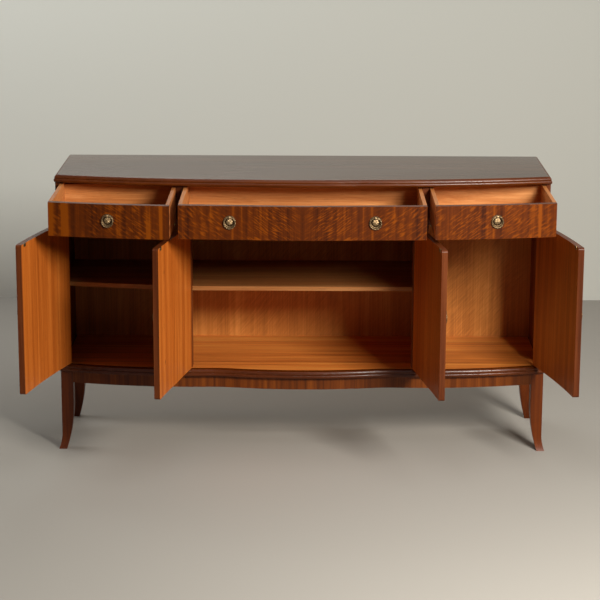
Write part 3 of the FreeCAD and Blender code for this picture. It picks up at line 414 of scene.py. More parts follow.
apron_wood = straight_grain("apron_wood", "z", (0.0685, 0.0141, 0.00124), (0.13, 0.0291, 0.00264),
                            (0.2, 0.0502, 0.00479), 0.36, band=70.0, line=320.0)
upright_wood = straight_grain("upright_wood", "z", (0.118, 0.026, 0.0048), (0.186, 0.0442, 0.0084),
                              (0.26, 0.0728, 0.0152), 0.42, line=190.0)
DRAWER_GRAIN = {"gloss": 0.48, "band": 30.0, "line": 170.0, "sway": 0.09, "contrast": 1.15}
lining_wood = straight_grain("lining_wood", "x", (0.408, 0.139, 0.0341), (0.539, 0.21, 0.0581),
                             (0.649, 0.291, 0.0969), **DRAWER_GRAIN)
lining_side_wood = straight_grain("lining_side_wood", "y", (0.37, 0.121, 0.0294),
                                  (0.481, 0.17, 0.045), (0.593, 0.241, 0.0735), **DRAWER_GRAIN)
shelf_wood = straight_grain("shelf_wood", "x", (0.271, 0.0918, 0.0227), (0.372, 0.142, 0.0395),
                            (0.474, 0.217, 0.0727), 0.44, line=170.0)
hidden_wood = straight_grain("hidden_wood", "x", (0.26, 0.12, 0.05), (0.36, 0.18, 0.08),
                             (0.46, 0.26, 0.13), 0.6)
top_wood = polished_top("top_wood")
floor_wood = laid_floor("floor_wood")
back_wood = flecked_back("back_wood")
pull_brass = old_brass("pull_brass", (0.37, 0.25, 0.13), (0.05, 0.028, 0.014), 0.62)
hinge_brass = old_brass("hinge_brass", (0.52, 0.38, 0.18), (0.16, 0.10, 0.045), 0.5, worn=False)
print(len(bpy.data.materials), "finishes")

# %% [markdown]
# ## Finishing a piece
# Every piece made here ends the same way: its mesh is already in the frame's own place, it gets its
# materials, it stands for a CAD node and it rides on that node's body.

# %% Settling a piece
def settle(mesh, name, body, stands_for=(), finishes=()):
    """Turn a mesh that is already in place into a finished piece."""
    for finish in finishes:
        mesh.materials.append(finish)
    piece = placed(name, mesh)
    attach(piece, body)
    if stands_for:
        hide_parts(*stands_for)
    return piece


def settled_mesh(piece):
    """The mesh of an object with its modifiers worked out; the helper object goes."""
    bpy.context.view_layer.update()
    depsgraph = bpy.context.evaluated_depsgraph_get()
    mesh = bpy.data.meshes.new_from_object(piece.evaluated_get(depsgraph))
    mesh.name = piece.name
    bpy.data.objects.remove(piece)
    return mesh


def write_grain(mesh, locate):
    """Store where each corner of the mesh lies in its own board, as (across, along, deep)."""
    layer = mesh.attributes.new("grain", "FLOAT_VECTOR", "POINT")
    for vertex, slot in zip(mesh.vertices, layer.data):
        slot.vector = locate(vertex.co)


# %% [markdown]
# ## Eased edges
# No cabinet edge is left sharp, and that thin strip is what catches the light along every door and
# drawer. The CAD solids have true corners, so a copy of each is welded, its flat faces are joined
# up again, and a Bevel modifier takes off the edges. Weighted normals keep the flats flat. The CAD
# mesh itself isn't touched.

# %% Eased copies of the CAD boards
ARRIS_DEGREES = 28


def eased(node, width, segments=2, rounder=None):
    """A copy of a CAD node with its arrises taken off."""
    mesh = nodes[node].data.copy()
    mesh.materials.clear()
    work = bmesh.new()
    work.from_mesh(mesh)
    bmesh.ops.remove_doubles(work, verts=work.verts, dist=1e-5)
    bmesh.ops.dissolve_limit(work, angle_limit=math.radians(0.15), verts=work.verts,
                             edges=work.edges)
    if rounder:
        rounder(work)
    work.to_mesh(mesh)
    work.free()
    for attribute in [a.name for a in mesh.attributes if not a.is_required and a.name[0] != "."]:
        mesh.attributes.remove(mesh.attributes[attribute])
    smoothed(mesh, ARRIS_DEGREES)
    piece = placed(node + "_eased", mesh)
    bevel = piece.modifiers.new("arris", "BEVEL")
    bevel.width = width
    bevel.segments = segments
    bevel.limit_method = "ANGLE"
    bevel.angle_limit = math.radians(ARRIS_DEGREES)
    bevel.harden_normals = True
    piece.modifiers.new("even", "WEIGHTED_NORMAL").keep_sharp = True
    return settled_mesh(piece)


# %% [markdown]
# ## The serpentine
# Seen from above, the front is five arcs that meet without a corner: a broad swell in the middle, a
# short hollow at each side of it, and a long swell that runs back to each end. A moulding is this
# line set back by a different amount at each height, and an arc set back is still an arc about the
# same centre, so the line is worked out anew for each setback. The top's line is the flatter one:
# its long front looks nearly straight from the room, while the base swells and hollows more.

# %% The front line
HALF_TOP = 0.7625
BACK_Y = 0.1915
BOARD_Y = -0.2535


def serpentine(swell_radius, swell_half, cove_radius, side_radius, side_x):
    """One front's arcs, as centres and radii, and the two angles at which they meet."""
    share = swell_half / swell_radius
    swell_y = BOARD_Y + swell_radius
    cove_x = (swell_radius + cove_radius) * share
    cove_y = swell_y - (swell_radius + cove_radius) * math.sqrt(1 - share ** 2)
    reach = cove_radius + side_radius
    side_y = cove_y + math.sqrt(reach ** 2 - (side_x - cove_x) ** 2)
    return ((swell_y, swell_radius), (cove_x, cove_y, cove_radius), (side_x, side_y, side_radius),
            (math.asin(share), math.asin((side_x - cove_x) / reach)))


BASE_FRONT = serpentine(1.18, 0.215, 0.325, 1.4, 0.36)
TOP_FRONT = serpentine(1.9, 0.15, 0.9, 2.5, 0.16)


def front_line(front, setback, half):
    """Points of a front from left to right, set back from its own line."""
    (swell_y, swell), (cove_x, cove_y, cove), (side_x, side_y, side), (swell_end, turn) = front
    swell, cove, side = swell - setback, cove + setback, side - setback
    side_end = math.asin((half - side_x) / side)
    points = []
    for x, y, radius, first, last, steps in ((0.0, swell_y, swell, 0.0, swell_end, 24),
                                             (cove_x, cove_y, -cove, swell_end, -turn, 12),
                                             (side_x, side_y, side, -turn, side_end, 48)):
        for step in range(1, steps + 1):
            angle = first + (last - first) * step / steps
            points.append((x + radius * math.sin(angle), y - radius * math.cos(angle)))
    left = [(-x, y) for x, y in reversed(points)]
    return left + [(0.0, swell_y - swell)] + points


print("a front is drawn with", len(front_line(TOP_FRONT, 0, HALF_TOP)), "points")

# %% [markdown]
# ## The moulded boards
# From below, the section is a half-round bead, a narrow quirk that throws a dark line, and a
# quarter-round that rolls over on to the flat. It is written as pairs of setback and height, and
# neighbouring lines are joined by strips. So are the flat faces, from front to back, as a fan of
# thin triangles would spoil the polish. A ledge of the bottom board shows in front of the shut
# doors, so its dark wood runs in past the moulding by a margin.

# %% Moulded boards
def moulding_section(bead, slope, quirk, roll, thick):
    """Pairs of setback and height, from the underside to the flat."""
    section = [(slope + 0.0012, 0.0)]
    for step in range(9):
        angle = math.pi * (step / 8 - 0.5)
        section.append((slope * (1 - math.cos(angle)), bead / 2 * (1 + math.sin(angle)) * 0.985))
    section += [(slope + 0.0004, bead * 0.99), (slope + 0.0004, bead + 0.0003)]
    section += [(quirk + 0.0002, bead + 0.0003), (quirk, bead + 0.0007)]
    foot = bead + 0.0012
    for step in range(1, 11):
        angle = math.pi / 2 * step / 10
        section.append((quirk + roll * (1 - math.cos(angle)),
                        foot + (thick - foot) * math.sin(angle)))
    return section


def moulded_board(name, line, overhang, low, section, stands_for, finishes, margin=None):
    """A board lofted from set-back outlines; the moulding's wood can run in by a margin."""
    work = bmesh.new()
    rings = []
    outlines = [(setback, height, BACK_Y) for setback, height in section]
    if margin:
        outlines.append((margin, section[-1][1], BACK_Y - 0.0005))
    for setback, height, back_y in outlines:
        front = front_line(line, setback - overhang, HALF_TOP - setback)
        back = [(x, back_y) for x, y in reversed(front)]
        rings.append([work.verts.new((x, y, low + height)) for x, y in front + back])
    count = len(rings[0])
    per_side = count // 2
    for lower, upper in zip(rings, rings[1:]):
        for i in range(count):
            j = (i + 1) % count
            work.faces.new((lower[i], lower[j], upper[j], upper[i])).material_index = 1
    for ring, flat in ((rings[-1], 0), (rings[0], 2)):
        for i in range(per_side - 1):
            face = work.faces.new((ring[i], ring[i + 1], ring[count - 2 - i], ring[count - 1 - i]))
            face.material_index = flat
    bmesh.ops.recalc_face_normals(work, faces=work.faces)
    mesh = mesh_of(work, name)
    smoothed(mesh, 32)
    write_grain(mesh, lambda co: (co.y, co.x, co.z))
    return settle(mesh, name, "carcase", (stands_for,), finishes)


TOP_LOW, TOP_OVERHANG = 0.8545, 0.014
BASE_LOW, BASE_OVERHANG, BASE_MARGIN = 0.254, 0.011, 0.0185
top_section = moulding_section(bead=0.012, slope=0.0036, quirk=0.002, roll=0.009, thick=0.0225)
base_section = moulding_section(bead=0.011, slope=0.0032, quirk=0.002, roll=0.008, thick=0.0235)
top = moulded_board("moulded_top", TOP_FRONT, TOP_OVERHANG, TOP_LOW, top_section, "top_board",
                    (top_wood, moulding_wood, hidden_wood))
bottom = moulded_board("moulded_bottom", BASE_FRONT, BASE_OVERHANG, BASE_LOW, base_section,
                       "bottom_board", (floor_wood, moulding_wood, hidden_wood),
                       margin=BASE_MARGIN)
print(top.name, len(top.data.polygons), "faces;", bottom.name, len(bottom.data.polygons), "faces")

# %% [markdown]
# ## Doors
# Each door is a thick curved panel with figured veneer outside, plain veneer inside and a dark
# lipping. The doors stand open at different angles, so grain and faces are reckoned as if each were
# shut: turned back about its pin by the angle that the hinge's own range gives. The two corners at
# the free end are rounded.

# %% Doors
DOORS = ("outer_left", "inner_left", "inner_right", "outer_right")


def shut_door(door):
    """The turn that takes a point of the open door back to where it lies when shut."""
    hinge = joints[f"door_{door}_swing"]
    pin = Vector(hinge["pos_m"])
    opened = math.radians(-hinge["range_deg"][0]) * hinge["axis"][2]
    return Matrix.Translation(pin) @ Matrix.Rotation(-opened, 4, "Z") @ Matrix.Translation(-pin)


def face_finishes(mesh, shut):
    """Give each face finish 0 if it looks out when the piece is shut, 2 if it looks in, else 1."""
    for face in mesh.polygons:
        looks = shut.to_3x3() @ face.normal
        face.material_index = 0 if looks.y < -0.8 else 2 if looks.y > 0.8 else 1


def rounded_corners(shut, pin_x, radius=0.007):
    """What rounds the two corners at the free end of a door, seen from its face."""
    def round_them(work):
        places = {vertex: shut @ vertex.co for vertex in work.verts}
        free_x = max((co.x for co in places.values()), key=lambda x: abs(x - pin_x))
        heights = [co.z for co in places.values()]
        picked = [edge for edge in work.edges
                  if all(abs(places[v].x - free_x) < 0.002 for v in edge.verts)
                  and any(all(abs(v.co.z - z) < 1e-4 for v in edge.verts)
                          for z in (min(heights), max(heights)))]
        bmesh.ops.bevel(work, geom=picked, offset=radius, segments=5, profile=0.5, affect="EDGES")
    return round_them


DOOR_LEAF_STEP = 0.37
for number, door in enumerate(DOORS):
    shut = shut_door(door)
    pin_x = joints[f"door_{door}_swing"]["pos_m"][0]
    mesh = eased(f"door_{door}", 0.0011, 3, rounded_corners(shut, pin_x))
    write_grain(mesh, lambda co: ((shut @ co).x + DOOR_LEAF_STEP * number, (shut @ co).z,
                                  (shut @ co).y))
    face_finishes(mesh, shut)
    settle(mesh, f"door_{door}_panel", f"door_{door}", (f"door_{door}",),
           (doors_veneer, edge_wood, knotty_lining if door == "inner_left" else door_lining))
print(len(DOORS), "doors")

# %% [markdown]
# ## Drawer fronts
# The fronts are cut from thick stock to the same serpentine and faced with the same veneer, whose
# grain stands upright although the drawer is wide. The top edge and the ends, with the lap and the
# tails of the sides, are dark, and the back is the pale lining.

# %% Drawer fronts
DRAWERS = ("left", "centre", "right")
DRAWER_LEAF_STEP = 0.21
for number, drawer in enumerate(DRAWERS):
    mesh = eased(f"drawer_{drawer}_front", 0.0008)
    write_grain(mesh, lambda co: (co.x, co.z + DRAWER_LEAF_STEP * number, co.y))
    face_finishes(mesh, Matrix.Identity(4))
    settle(mesh, f"drawer_{drawer}_face", f"drawer_{drawer}",
           (f"drawer_{drawer}_front",), (fronts_veneer, edge_wood, door_lining))
print(len(DRAWERS), "drawer fronts")

# %% [markdown]
# ## Repeats by Geometry Nodes
# Beads round a rim, the strands of a rope ring and screws along a leaf all follow a rule, so each
# is a small Geometry Nodes tree with named inputs. A recipe is worked out once into a plain mesh:
# the export drops instances, so every tree ends by making them real and giving their material.

# %% A Geometry Nodes recipe
class Recipe(Tree):
    """A Geometry Nodes tree with named inputs, worked out into a mesh."""

    KINDS = {int: "Int", float: "Float", tuple: "Vector", bpy.types.Material: "Material"}

    def __init__(self, name, **inputs):
        super().__init__(bpy.data.node_groups.new(name, "GeometryNodeTree"), "GeometryNode")
        shelf = self.tree.interface
        shelf.new_socket("Geometry", in_out="INPUT", socket_type="NodeSocketGeometry")
        for label, value in inputs.items():
            socket = shelf.new_socket(label.replace("_", " "), in_out="INPUT",
                                      socket_type="NodeSocket" + self.KINDS[type(value)])
            socket.default_value = value
        shelf.new_socket("Geometry", in_out="OUTPUT", socket_type="NodeSocketGeometry")
        self.entry = self.tree.nodes.new("NodeGroupInput")
        self.exit = self.tree.nodes.new("NodeGroupOutput")

    def given(self, name):
        """One of the named inputs."""
        return Signal(self.tree, self.entry.outputs[name])

    def ends_with(self, geometry):
        """Make instances real, give the material, and send the result out."""
        real = self.add("RealizeInstances", Geometry=geometry)
        done = self.add("SetMaterial", Geometry=real, Material=self.given("Material"))
        plug(done, self.exit.inputs[0])

    def make(self, mesh):
        """What the tree makes of a mesh."""
        piece = placed(self.tree.name, mesh)
        piece.modifiers.new("recipe", "NODES").node_group = self.tree
        return settled_mesh(piece)


# %% Beads in a circle, screws in a row, a roped ring
RING_RADIUS = 0.0165
SCREW_GAP = 0.017


def copies_recipe(name, row, sockets, **inputs):
    """A mesh set at every point of a row, whose sockets take the inputs named beside them."""
    recipe = Recipe(name, **inputs)
    points = recipe.add(row, **{socket: recipe.given(label) for socket, label in sockets.items()})
    recipe.ends_with(recipe.add("InstanceOnPoints", Points=points,
                                Instance=recipe.given("Geometry")))
    return recipe


def rope_recipe():
    """A bar of a few strands, bent into a ring and twisted as it goes round."""
    recipe = Recipe("rope_ring", Ring_Radius=RING_RADIUS, Bar_Radius=0.0022, Strands=3, Twists=13,
                    Hollow=0.10, Material=pull_brass)
    path = recipe.add("CurveArc", Resolution=181, Radius=recipe.given("Ring Radius"),
                      Start_Angle=math.pi / 2, Sweep_Angle=2 * math.pi)
    twist = recipe.add("SplineParameter") * recipe.given("Twists") * (2 * math.pi / 3)
    tilted = recipe.add("SetCurveTilt", Curve=path, Tilt=twist)
    section = recipe.add("CurvePrimitiveCircle", Resolution=12, Radius=recipe.given("Bar Radius"))
    angle = recipe.add("SplineParameter") * recipe.given("Strands") * (2 * math.pi)
    swell = recipe.add("ShaderNodeMath", {"operation": "COSINE"}, Value=angle)
    scale = 1 - recipe.given("Hollow") * (1 - swell)
    drawn_in = recipe.add("ShaderNodeVectorMath", {"operation": "SCALE"},
                          Vector=recipe.add("InputPosition"), Scale=scale)
    lobed = recipe.add("SetPosition", Geometry=section, Position=drawn_in)
    bar = recipe.add("CurveToMesh", Curve=tilted, Profile_Curve=lobed)
    recipe.ends_with(recipe.add("MergeByDistance", Geometry=bar, Distance=0.00001))
    return recipe


beads = copies_recipe("beads_round_a_rim", "MeshCircle",
                      {"Vertices": "Count", "Radius": "Rim Radius"}, Count=52, Rim_Radius=0.0169,
                      Material=pull_brass)
screws = copies_recipe("screws_in_a_row", "MeshLine", {"Count": "Count", "Offset": "Spacing"},
                       Count=3, Spacing=(0.0, SCREW_GAP, 0.0), Material=hinge_brass)
rope = rope_recipe()
print("3 recipes")

# %% [markdown]
# ## Ring pulls
# Each pull is a round plate with a beaded rim, a domed boss cut into petals and an eye at the top
# from which a roped ring hangs. The turned parts are profiles spun as on a lathe, and the petals
# are a small dip of the dome that depends on the angle. Where a pull sits is read from the joint of
# its ring: its axis lies across the plate, so the drawers and doors need no sizes here.

# %% The turned parts
def spin(work, profile, sides, dip=None):
    """Spin pairs of radius and height round z; dip lowers a point by its radius and angle."""
    rings = []
    for radius, height in profile:
        if radius == 0:
            rings.append([work.verts.new((0, 0, height))] * sides)
            continue
        ring = []
        for i in range(sides):
            angle = 2 * math.pi * i / sides
            fall = dip(radius, angle) if dip else 0
            ring.append(work.verts.new((radius * math.cos(angle), radius * math.sin(angle),
                                        height - fall)))
        rings.append(ring)
    for low, high in zip(rings, rings[1:]):
        for i in range(sides):
            j = (i + 1) % sides
            corners = list(dict.fromkeys((low[i], low[j], high[j], high[i])))
            if len(corners) > 2:
                work.faces.new(corners)


def turned(profile, sides, dip=None):
    """A mesh spun from a profile given in millimetres."""
    work = bmesh.new()
    spin(work, [(radius / 1000, height / 1000) for radius, height in profile], sides, dip)
    bmesh.ops.recalc_face_normals(work, faces=work.faces)
    return mesh_of(work, "turned")


def limited(value):
    """The value, but never under 0 or over 1."""
    return max(0.0, min(1.0, value))


def petals(radius, angle):
    """Eight shallow grooves between the button and the foot of the dome."""
    groove = 0.5 - 0.5 * math.cos(8 * angle)
    share = limited((radius - 0.0021) / 0.0012) * limited((0.0107 - radius) / 0.0012)
    return 0.0008 * groove ** 3 * share


def joined(name, parts):
    """Several meshes, each with a matrix, as one mesh with soft normals."""
    work = bmesh.new()
    for mesh, place in parts:
        copy = mesh.copy()
        copy.transform(place)
        work.from_mesh(copy)
        bpy.data.meshes.remove(copy)
    bmesh.ops.recalc_face_normals(work, faces=work.faces)
    mesh = mesh_of(work, name)
    mesh.materials.clear()
    smoothed(mesh, 50)
    return mesh


# Profiles in millimetres, as pairs of radius and height.
PLATE = [(0, 0), (18.2, 0), (18.5, 0.35), (18.35, 0.8), (17.9, 1.05), (15.8, 1.0), (15.3, 1.6),
         (14.7, 1.8), (14.1, 1.55), (13.6, 1.0), (13.0, 0.7), (11.7, 0.7), (11.3, 1.1), (11.1, 1.8),
         (10.7, 2.1)]
BOSS = [(10.5 * math.cos(t), 2.2 + 3.3 * math.sin(t))
        for t in (math.pi / 2 * k / 9 for k in range(9))]
BUTTON = [(2.1, 5.45), (2.0, 5.75), (1.2, 6.0), (0, 6.05)]
plate_mesh = turned(PLATE + BOSS + BUTTON, 48, petals)
bead_mesh = turned([(0, -0.95), (0.67, -0.67), (0.95, 0), (0.67, 0.67), (0, 0.95)], 8)
EYE = [(2.75, -2.9), (3.5, -3.1), (4.0, -2.6), (4.15, -1.2), (4.15, 1.2), (4.0, 2.6), (3.5, 3.1),
       (2.75, 2.9), (2.6, 0), (2.75, -2.9)]
eye_mesh = turned(EYE, 20)
beads_mesh = beads.make(bead_mesh)
ring_mesh = rope.make(bpy.data.meshes.new("rope"))
print("plate", len(plate_mesh.polygons), "beads", len(beads_mesh.polygons),
      "ring", len(ring_mesh.polygons))

# %% Setting the pulls
RING_OUT, RING_UP, RING_DROP = 0.0043, 0.0135, 0.003
faces_front = Matrix.Rotation(math.radians(90), 4, "X")
across_plate = Matrix.Rotation(math.radians(90), 4, "Y")


def pull_place(joint):
    """The frame of a pull: x across it, y into the wood, z up, from its ring's joint."""
    x = -Vector(joint["axis"]).normalized()
    z = Vector((0, 0, 1))
    y = z.cross(x)
    middle = Vector(joint["pos_m"]) + y * RING_OUT - z * RING_UP
    return Matrix.Translation(middle) @ Matrix((x, y, z)).transposed().to_4x4()


def pull_parts(place):
    """Plate, beads and eye of one pull, each with its matrix."""
    lug = Matrix.Translation((0, -RING_OUT, RING_UP)) @ across_plate
    foot = (Matrix.Translation((0, -0.0014, RING_UP)) @ Matrix.Diagonal((1, 0.42, 0.8, 1))
            @ across_plate)
    return [(plate_mesh, place @ faces_front),
            (beads_mesh, place @ faces_front @ Matrix.Translation((0, 0, 0.001))),
            (eye_mesh, place @ lug), (eye_mesh, place @ foot)]


def write_wear(mesh, places, measure):
    """Store how rubbed each corner is, from its place in the nearest pull's own frame."""
    layer = mesh.attributes.new("wear", "FLOAT", "POINT")
    for vertex, slot in zip(mesh.vertices, layer.data):
        local = min((place.inverted() @ vertex.co for place in places), key=lambda co: co.length)
        slot.value = limited(measure(local))


def plate_wear(local):
    """Bright on the beads, the rim, the eye and the crown of the boss; dark in the dish."""
    radius, out = math.hypot(local.x, local.z), -local.y
    if radius > 0.0132 or out > 0.0066:
        return (out - 0.0006) / 0.0015
    return (out - 0.0016) / 0.0036


def ring_wear(local):
    """Bright along the front and outside of the strands."""
    radius = math.hypot(local.x, local.z + RING_DROP) - RING_RADIUS
    off = math.hypot(radius, local.y + RING_OUT)
    return (off - 0.00172) / 0.00045


ring_joints = [name for name in joints if name.endswith("_ring_lift")]
for name in ring_joints:
    place = pull_place(joints[name])
    centre = Matrix.Translation((0, -RING_OUT, -RING_DROP))
    mesh = joined(name, [(ring_mesh, place @ centre @ faces_front)])
    write_wear(mesh, [place], ring_wear)
    body = name.replace("_lift", "")
    settle(mesh, body + "_roped", body, (body,), (pull_brass,))
for drawer in DRAWERS:
    places = [pull_place(joints[n]) for n in ring_joints if n.startswith(f"drawer_{drawer}")]
    mesh = joined(f"plates_{drawer}", [part for place in places for part in pull_parts(place)])
    write_wear(mesh, places, plate_wear)
    settle(mesh, f"drawer_{drawer}_plates", f"drawer_{drawer}",
           (f"drawer_{drawer}_pull_plates",), (pull_brass,))
print(len(ring_joints), "rings on their plates")

# %% [markdown]
# ## Hinges and strikes
# Every door turns on two brass butts: a thin leaf let into its edge, its twin on the carcase, three
# knuckles with the ends of a pin, and three slotted screws sunk under each leaf's face, so that the
# leaves can close. They are made for the shut door, and the door's half is then turned open with
# it. The strike at the door's top corner is the CAD plate with its edges eased.

# %% Hinges
HINGE_LOWS = (0.341, 0.623)
HINGE_LONG, KNUCKLE = 0.050, 0.003
LEAF_FROM, LEAF_TO, LEAF_NEAR, LEAF_FAR = 0.0040, 0.0181, 0.00025, 0.00125
KNUCKLE_GAP, PIN_END, PIN_RADIUS, SCREW_SUNK = 0.0003, 0.0012, 0.0019, 0.0002
STRIKE_OVER = 0.72


def screw_head():
    """A countersunk head with a slot across it."""
    work = bmesh.new()
    spin(work, [(0, -0.0003), (0.0019, -0.0003), (0.0021, 0.0001), (0.0019, 0.0003), (0, 0.0003)],
         12)
    bmesh.ops.recalc_face_normals(work, faces=work.faces)
    for y in (-0.00035, 0.00035):
        bmesh.ops.bisect_plane(work, geom=work.verts[:] + work.edges[:] + work.faces[:],
                               plane_co=(0, y, 0), plane_no=(0, 1, 0))
    slot = [face for face in work.faces if abs(face.calc_center_median().y) < 0.0003
            and face.normal.z > 0.9]
    cut = bmesh.ops.extrude_face_region(work, geom=slot)
    bmesh.ops.delete(work, geom=slot, context="FACES_ONLY")
    bottom_of_slot = [item for item in cut["geom"] if isinstance(item, bmesh.types.BMVert)]
    bmesh.ops.translate(work, vec=(0, 0, -0.00035), verts=bottom_of_slot)
    return mesh_of(work, "screw_head")


def slab(u0, u1, v0, v1, z0, z1):
    """A plate with eased edges."""
    work = bmesh.new()
    middle = Matrix.Translation(((u0 + u1) / 2, (v0 + v1) / 2, (z0 + z1) / 2))
    bmesh.ops.create_cube(work, size=1,
                          matrix=middle @ Matrix.Diagonal((u1 - u0, v1 - v0, z1 - z0, 1)))
    bmesh.ops.bevel(work, geom=work.edges[:], offset=0.0002, segments=2, affect="EDGES",
                    profile=0.5)
    return mesh_of(work, "slab")


def barrel(z0, z1, radius=KNUCKLE):
    """A knuckle or a pin end between two heights."""
    ease = 0.0003
    profile = [(0, z0), (radius - ease, z0), (radius, z0 + ease), (radius, z1 - ease),
               (radius - ease, z1), (0, z1)]
    return turned([(r * 1000, z * 1000) for r, z in profile], 20)


row_mesh = screws.make(screw_head())
third = HINGE_LONG / 3


def half_parts(low, door_side, place):
    """One half of a hinge: leaf, tabs, knuckles, pin ends and sunk screws, set in place."""
    sign = -1 if door_side else 1
    u0, u1 = sorted((sign * LEAF_NEAR, sign * LEAF_FAR))
    spans = (((0, third), (2 * third, 3 * third)) if door_side else
             ((third + KNUCKLE_GAP, 2 * third - KNUCKLE_GAP),))
    parts = [(slab(u0, u1, LEAF_FROM, LEAF_TO, low, low + HINGE_LONG), place)]
    for z0, z1 in spans:
        parts.append((slab(u0, u1, 0.001, LEAF_FROM + 0.001, low + z0, low + z1), place))
        parts.append((barrel(low + z0, low + z1), place))
    if door_side:
        for end in (0, HINGE_LONG):
            parts.append((barrel(low + end - PIN_END, low + end + PIN_END, PIN_RADIUS), place))
    row = Matrix.Translation((sign * (LEAF_NEAR + SCREW_SUNK), (LEAF_FROM + LEAF_TO) / 2,
                              low + HINGE_LONG / 2 - SCREW_GAP))
    turn_row = Matrix(((0, 0, -sign, 0), (1, 0, 0, 0), (0, 1, 0, 0), (0, 0, 0, 1)))
    parts.append((row_mesh, place @ row @ turn_row))
    return parts


def hinge_frame(door):
    """The frame of a shut door's hinges: u outwards from the middle, v to the back."""
    joint = joints[f"door_{door}_swing"]
    pin_x, pin_y, _ = joint["pos_m"]
    return Matrix.Translation((pin_x, pin_y, 0)) @ Matrix.Diagonal((joint["axis"][2], 1, 1, 1))


def strike_plate(door):
    """The strike of a door, which is all of its fittings over a height, with its edges eased."""
    whole = eased(f"door_{door}_fittings", 0.0002)
    work = bmesh.new()
    work.from_mesh(whole)
    below = [vertex for vertex in work.verts if vertex.co.z < STRIKE_OVER]
    bmesh.ops.delete(work, geom=below, context="VERTS")
    return mesh_of(work, "strike")


case_parts = []
for door in DOORS:
    frame_here = hinge_frame(door)
    opened = shut_door(door).inverted()
    door_parts = [part for low in HINGE_LOWS for part in half_parts(low, True, opened @ frame_here)]
    case_parts += [part for low in HINGE_LOWS for part in half_parts(low, False, frame_here)]
    brass = joined(f"hinges_{door}", door_parts + [(strike_plate(door), Matrix.Identity(4))])
    settle(brass, f"door_{door}_hinges", f"door_{door}", (f"door_{door}_fittings",),
           (hinge_brass,))
    place = pull_place(joints[f"door_{door}_ring_lift"])
    plate = joined(f"plate_{door}", pull_parts(place))
    write_wear(plate, [place], plate_wear)
    settle(plate, f"door_{door}_plate", f"door_{door}", (f"door_{door}_fittings",),
           (pull_brass,))
settle(joined("case_leaves", case_parts), "case_hinge_leaves", "carcase",
       ("hinge_leaves",), (hinge_brass,))
print(2 * len(DOORS), "hinges")

# %% [markdown]
# ## Ends and partitions
# The four uprights are plain wood inside, with a dark lipping on the front edge. The two ends carry
# the doors' veneer outside. Grain runs up them, and each reads its own stretch of the veneer.

# %% Ends and partitions
for name, outward in (("end_panel_left", -1), ("end_panel_right", 1), ("partition_left", 0),
                      ("partition_right", 0)):
    mesh = eased(name, 0.0008)
    write_grain(mesh, lambda co: (co.y + 0.5 + 0.2 * outward, co.z, co.x))
    for face in mesh.polygons:
        face.material_index = (1 if face.normal.x * outward > 0.7 else
                               2 if face.normal.y < -0.7 else 0)
    settle(mesh, name + "_board", "carcase", (name,),
           (upright_wood, doors_veneer, edge_wood))
print("2 ends and 2 partitions")

# %% Finishes for the boards that keep their CAD shape
CASE_FINISHES = {
    upright_wood: ["hinge_posts"],
    back_wood: ["back_panel"],
    rail_wood: ["drawer_rails"],
    shelf_wood: ["shelf_left", "shelf_centre", "shelf_bearers"],
    apron_wood: ["apron_front", "apron_ends", "apron_back"],
    leg_wood: ["leg_front_left", "leg_front_right", "leg_rear_left", "leg_rear_right"],
    hidden_wood: ["drawer_runners", "back_rails", "corner_blocks"],
    lining_wood: [f"drawer_{drawer}_{part}" for drawer in DRAWERS for part in ("back", "bottom")],
    lining_side_wood: [f"drawer_{drawer}_sides" for drawer in DRAWERS],
    hinge_brass: ["door_catches"],
}
for finish, names in CASE_FINISHES.items():
    for name in names:
        nodes[name].data.materials.clear()
        nodes[name].data.materials.append(finish)
print(sum(len(names) for names in CASE_FINISHES.values()), "nodes keep their mesh")

# %% [markdown]
# ## The room
# A pale floor runs to a pale wall, far enough behind to keep the shadow off it. Both are pale only
# where they are seen, and duller where they throw light back on the wood. The wall is clear from
# behind, so it never hides the piece. A large soft lamp stands to the right of the camera, as in
# the photograph, and leaves the left cupboard in shade. Weaker ones hang overhead, light the wall
# and light the back. The sky is pale to look at and gives hardly any light.

# %% Floor, wall and lamps
def showing(tree):
    """1 for rays that show a thing, straight, mirrored or through glass, and 0 for the rest."""
    straight, mirrored, through = (tree.add("LightPath", output=f"Is {kind} Ray")
                                   for kind in ("Camera", "Glossy", "Transmission"))
    return tree.add("Clamp", Value=straight + mirrored + through)


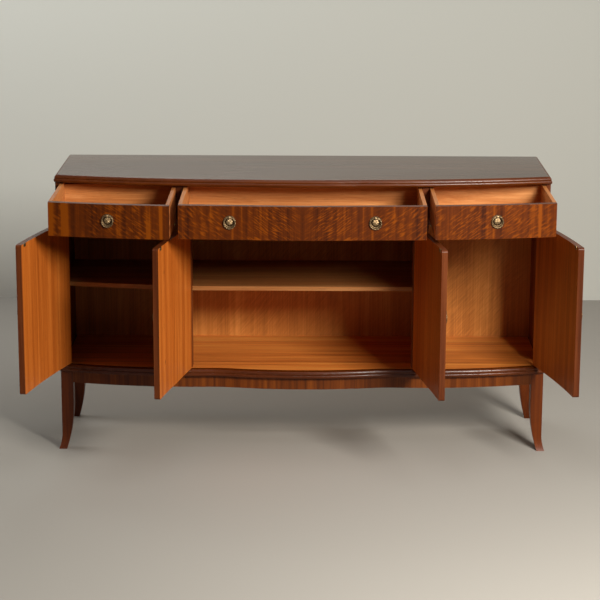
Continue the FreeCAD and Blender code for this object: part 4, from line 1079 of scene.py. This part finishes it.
def plain_plane(name, corners, seen, bounced, one_sided=False):
    """A flat stage surface: pale where it is seen, duller where it only throws light back."""
    mesh = bpy.data.meshes.new(name)
    mesh.from_pydata(corners, [], [(0, 1, 2, 3)])
    surface = Finish(name, Roughness=0.9, Specular_IOR_Level=0.2)
    surface.feed(Base_Color=surface.blend(showing(surface), rgb(*bounced), rgb(*seen)))
    if one_sided:
        painted = Signal(surface.tree, surface.skin.outputs[0])
        shown = surface.add("MixShader", Fac=surface.add("NewGeometry", output="Backfacing"),
                            _1=painted, _2=surface.add("BsdfTransparent"))
        plug(shown, surface.tree.nodes["Material Output"].inputs["Surface"])
    mesh.materials.append(surface.material)
    stage = placed(name, mesh)


WALL_Y, WALL_HIGH, SIDE = 1.85, 7, 12
plain_plane("floor", [(-SIDE, -SIDE, 0), (SIDE, -SIDE, 0), (SIDE, SIDE, 0), (-SIDE, SIDE, 0)],
            (0.43, 0.41, 0.37), (0.30, 0.20, 0.12))
plain_plane("wall", [(-SIDE, WALL_Y, 0), (SIDE, WALL_Y, 0), (SIDE, WALL_Y, WALL_HIGH),
                     (-SIDE, WALL_Y, WALL_HIGH)],
            (0.65, 0.675, 0.63), (0.40, 0.38, 0.33), one_sided=True)


def lamp(name, place, aim, width, height, watts, colour=(1, 1, 1)):
    """A soft rectangular lamp turned towards a point."""
    light = bpy.data.lights.new(name, "AREA")
    light.shape = "RECTANGLE"
    light.size = width
    light.size_y = height
    light.energy = watts
    light.color = colour
    facing = (Vector(aim) - Vector(place)).to_track_quat("-Z", "Y").to_matrix().to_4x4()
    placed(name, light).matrix_world = Matrix.Translation(place) @ facing


lamp("key_lamp", (1.6, -2.9, 2.05), (0.0, 0.0, 0.5), 0.9, 0.9, 150, (1.0, 0.95, 0.88))
lamp("overhead_lamp", (0.5, -1.6, 3.4), (0.0, 0.2, 0.4), 2.4, 1.6, 26)
lamp("wall_lamp", (-1.9, 0.5, 1.9), (-1.0, 1.85, 0.7), 1.2, 1.2, 12)
lamp("back_lamp", (-0.4, 1.7, 2.5), (0.0, 0.2, 0.45), 1.6, 0.5, 14)
SKY_SHOWN, SKY_LIGHT = 0.34, 0.02
sky = bpy.data.worlds.new("sky")
sky.use_nodes = True
air = sky.node_tree.nodes["Background"].inputs
plug(rgb(0.97, 0.97, 0.93), air["Color"])
plug(showing(Tree(sky.node_tree, "ShaderNode")) * SKY_SHOWN + SKY_LIGHT, air["Strength"])
bpy.context.scene.world = sky
bpy.context.scene.view_settings.view_transform = "Standard"
print("lamps set")
